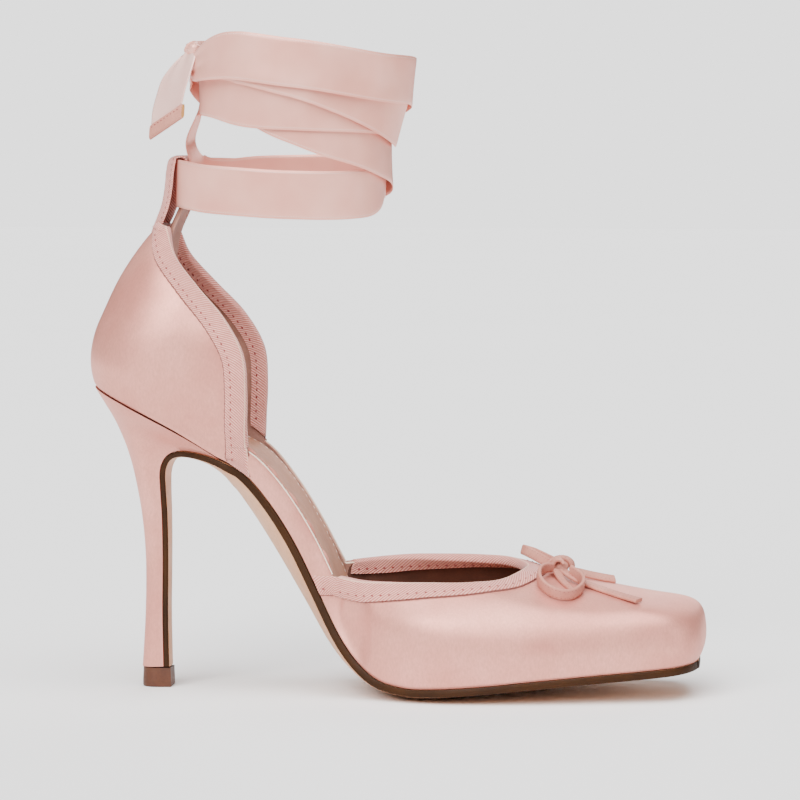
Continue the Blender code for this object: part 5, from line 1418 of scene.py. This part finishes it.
def build_tab():
    """Loop of the binding tape that the ribbon runs through, lined inside."""
    line = resample(TAB, np.linspace(0.0, 1.0, 17))
    places = np.linspace(0.0, 16.0, TAB_RINGS)
    fine = np.stack([spline(range(17), column)(places) for column in line.T], axis=1)
    travelled = arc_length(fine)
    back = smooth_step((-79.5 - fine[:, 0]) / 2.0) * (np.arange(TAB_RINGS) < TAB_BEND)
    lined = [int(k > TAB_BEND + 5 and z < 176.0) for k, z in enumerate(fine[:, 1])]
    rings, uvs, outward = [], [], []
    for k, ((x, z), way) in enumerate(zip(fine, np.gradient(fine, axis=0))):
        normal = unit(np.array([-way[1], 0.0, way[0]]))
        half = TAB_HALF * (1.0 - 0.3 * smooth_step((7.0 - travelled[k]) / 7.0))
        front, rear, marks = [], [], []
        for share in np.linspace(-1.0, 1.0, TAB_POINTS):
            curl = 1.1 * back[k] * smooth_step((abs(share) - 0.5) / 0.5)
            slim = 0.5 * TAB_THICK * (1.0 - 0.4 * smooth_step((abs(share) - 0.88) / 0.12))
            base = np.array([x + TAB_CURVE * share * share + curl, half * share, z])
            front.append(base + normal * slim)
            rear.append(base - normal * slim)
            marks.append((travelled[k], TAB_HALF * share))
        rings.append(front + rear[::-1])
        uvs.append(marks + marks[::-1])
        outward.append(normal)
    net, sewing = Net().strip(rings, uvs, lined), Net()
    net.make("heel_tab_tape", [TAB_TAPE, LINING], "grosgrain", "heel_tab", 60.0)
    for column in (1, TAB_POINTS - 2):
        stitches(sewing, [ring[column] for ring in rings[6:-21]], np.array(outward[6:-21]), 1.2,
                 1.9, 0.16, 0.5)
    sewing.make("heel_tab_stitches", [THREAD], "grosgrain")


# ---------------------------------------------------------------- bow
BAND_SECTION = [(math.copysign(abs(c) ** 0.45, c), math.copysign(abs(s) ** 0.7, s))
                for c, s in ((math.cos(a), math.sin(a)) for a in np.arange(24) * math.tau / 24)]
KNOT_WIDTH = 3.4          # of the bow's parts where they run into its knot


def vamp_rays():
    net = Net()
    for side in SIDES:
        net.grid(VAMP_FACE[side].net[::4, ::4])
    return BVHTree.FromPolygons([tuple(p) for p in net.points], net.faces)


def lying(rows, rays, count):
    """Middle line and normals of a band that lies on the vamp."""
    middle, normals = [], []
    for row in dense(rows, count):
        hit, normal, _, _ = rays.ray_cast((row.x, row.y, 90.0), (0.0, 0.0, -1.0))
        normals.append(np.array(normal) * math.copysign(1.0, normal[2]))
        middle.append(np.array(hit) + normals[-1] * row.lift)
    return np.array(middle), smoothed(normals, 3)


def add_band(net, sewing, middle, across, widths, faces=(1.0, -1.0), thick=1.4):
    """Rounded leather band, sewn along both edges of the faces that are given."""
    middle = np.asarray(middle, float)
    sides = np.array([unit(np.asarray(side, float)) for side in across])
    tops = np.array([unit(np.cross(along, side))
                     for along, side in zip(np.gradient(middle, axis=0), sides)])
    rings, uvs = [], []
    for centre, side, top, width, far in zip(middle, sides, tops, widths, arc_length(middle)):
        rings.append([centre + side * (0.5 * width * w) + top * (0.5 * thick * h)
                      for w, h in BAND_SECTION])
        uvs.append([(far, 0.5 * width * w) for w, _ in BAND_SECTION])
    net.strip(rings, uvs)
    for way in faces:
        for edge in (0.62, -0.62):
            line = middle + sides * (0.5 * edge * np.asarray(widths))[:, None] + tops * way * 0.6
            stitches(sewing, line, tops * way, 0.8, 1.5, 0.14, 0.5)


def arched(centre, reach, slide, turns):
    """Middle line of a band over the knot, as an arc in x and z that slides along y."""
    return [(centre[0] - reach[0] * math.cos(math.radians(t)), centre[1] + slide(t),
             centre[2] - reach[1] * math.sin(math.radians(t))) for t in turns]


def build_bow():
    rays, sewing = vamp_rays(), Net()
    pieces = {name: Net() for name in ("bow_loop_near", "bow_loop_far", "bow_tail_near",
                                       "bow_tail_far")}
    middle, normals = lying(BOW_NEAR_LOOP, rays, 80)
    full = smooth_step(6.0 * (0.5 - abs(np.linspace(-0.5, 0.5, 80))))
    add_band(pieces["bow_loop_near"], sewing, middle, normals,
             KNOT_WIDTH + (BOW_WIDTH - KNOT_WIDTH) * full)
    middle, normals = lying(BOW_RETURN, rays, 24)
    add_band(pieces["bow_loop_near"], sewing, middle,
             np.cross(normals, np.gradient(middle, axis=0)), np.linspace(3.2, 2.0, 24), (1.0,))
    rows = dense(BOW_FAR_LOOP, 80)
    add_band(pieces["bow_loop_far"], sewing, [place_of(r) - [0.8, 0.0, 0.8] for r in rows],
             [across_of(r) for r in rows], [r.width for r in rows])
    for name, rows, tilt in (("bow_tail_near", BOW_NEAR_TAIL, 0.0),
                             ("bow_tail_far", BOW_FAR_TAIL, math.radians(30.0))):
        middle, normals = lying(rows, rays, 44)
        across = np.cross(normals, np.gradient(middle, axis=0))
        across = across / np.linalg.norm(across, axis=1)[:, None]
        widths = KNOT_WIDTH + (BOW_WIDTH - KNOT_WIDTH) * smooth_step(np.linspace(0.0, 4.0, 44))
        add_band(pieces[name], sewing, middle + normals * 1.1 * math.sin(tilt),
                 across * math.cos(tilt) + normals * math.sin(tilt), widths, (1.0,))
    for name, net in pieces.items():
        net.make(name + "_leather", [BOW_LEATHER], "trim_leather", name, 50.0)
    net = Net()
    knot_core(net, BOW_KNOT, 30, 60, 0.86, 0.05, 1.5, 0.5, 0.3)
    over = arched((56.5, -2.6, 44.3), (4.1, 3.1), lambda t: -1.2 * math.cos(math.radians(t)),
                  np.linspace(-200.0, 20.0, 60))
    add_band(net, sewing, over, [(0.25, 1.0, 0.1)] * 60, np.full(60, 3.6))
    roll = arched((56.0, -5.0, 45.0), (1.9, 2.0), lambda t: 0.02 * t / 3.0,
                  np.linspace(-150.0, 60.0, 44))
    add_band(net, Net(), roll, [(-0.3, 1.0, 0.2)] * 44, np.full(44, 2.8), ())
    net.make("bow_knot_leather", [BOW_LEATHER], "trim_leather", "bow_knot", 50.0)
    sewing.make("bow_stitches", [THREAD], "trim_leather")


# ---------------------------------------------------------------- floor, and building the pieces
def build_floor():
    mesh = bpy.data.meshes.new("floor")
    mesh.from_pydata([(-6, -6, 0), (6, -6, 0), (6, 6, 0), (-6, 6, 0)], [], [(0, 1, 2, 3)])
    f = Finish("floor_paper", 0.9, Specular_IOR_Level=0.1)
    f.colour(f.mix(f.noise(3.0), (0.93, 0.93, 0.93), (0.96, 0.96, 0.96)))
    mesh.materials.append(f.made)
    linked("floor", mesh)


build_camera()
build_lights()
build_world()
build_floor()
build_upper()
build_binding("vamp_tape", "vamp_binding", VAMP_FACE, vamp_stations, VAMP_TAPE, 3.2, 0.7, True)
build_binding("counter_tape", "counter_binding", COUNTER_FACE, counter_stations, COUNTER_TAPE,
              2.6, 1.2)
build_outsole()
build_insole()
build_heel()
build_tab()
wound, wound_length = build_ribbon()
build_ribbon_knot()
tails = build_near_tail(), build_far_tail()
build_bow()

for tail, tail_length, ends in tails:
    list(ends)
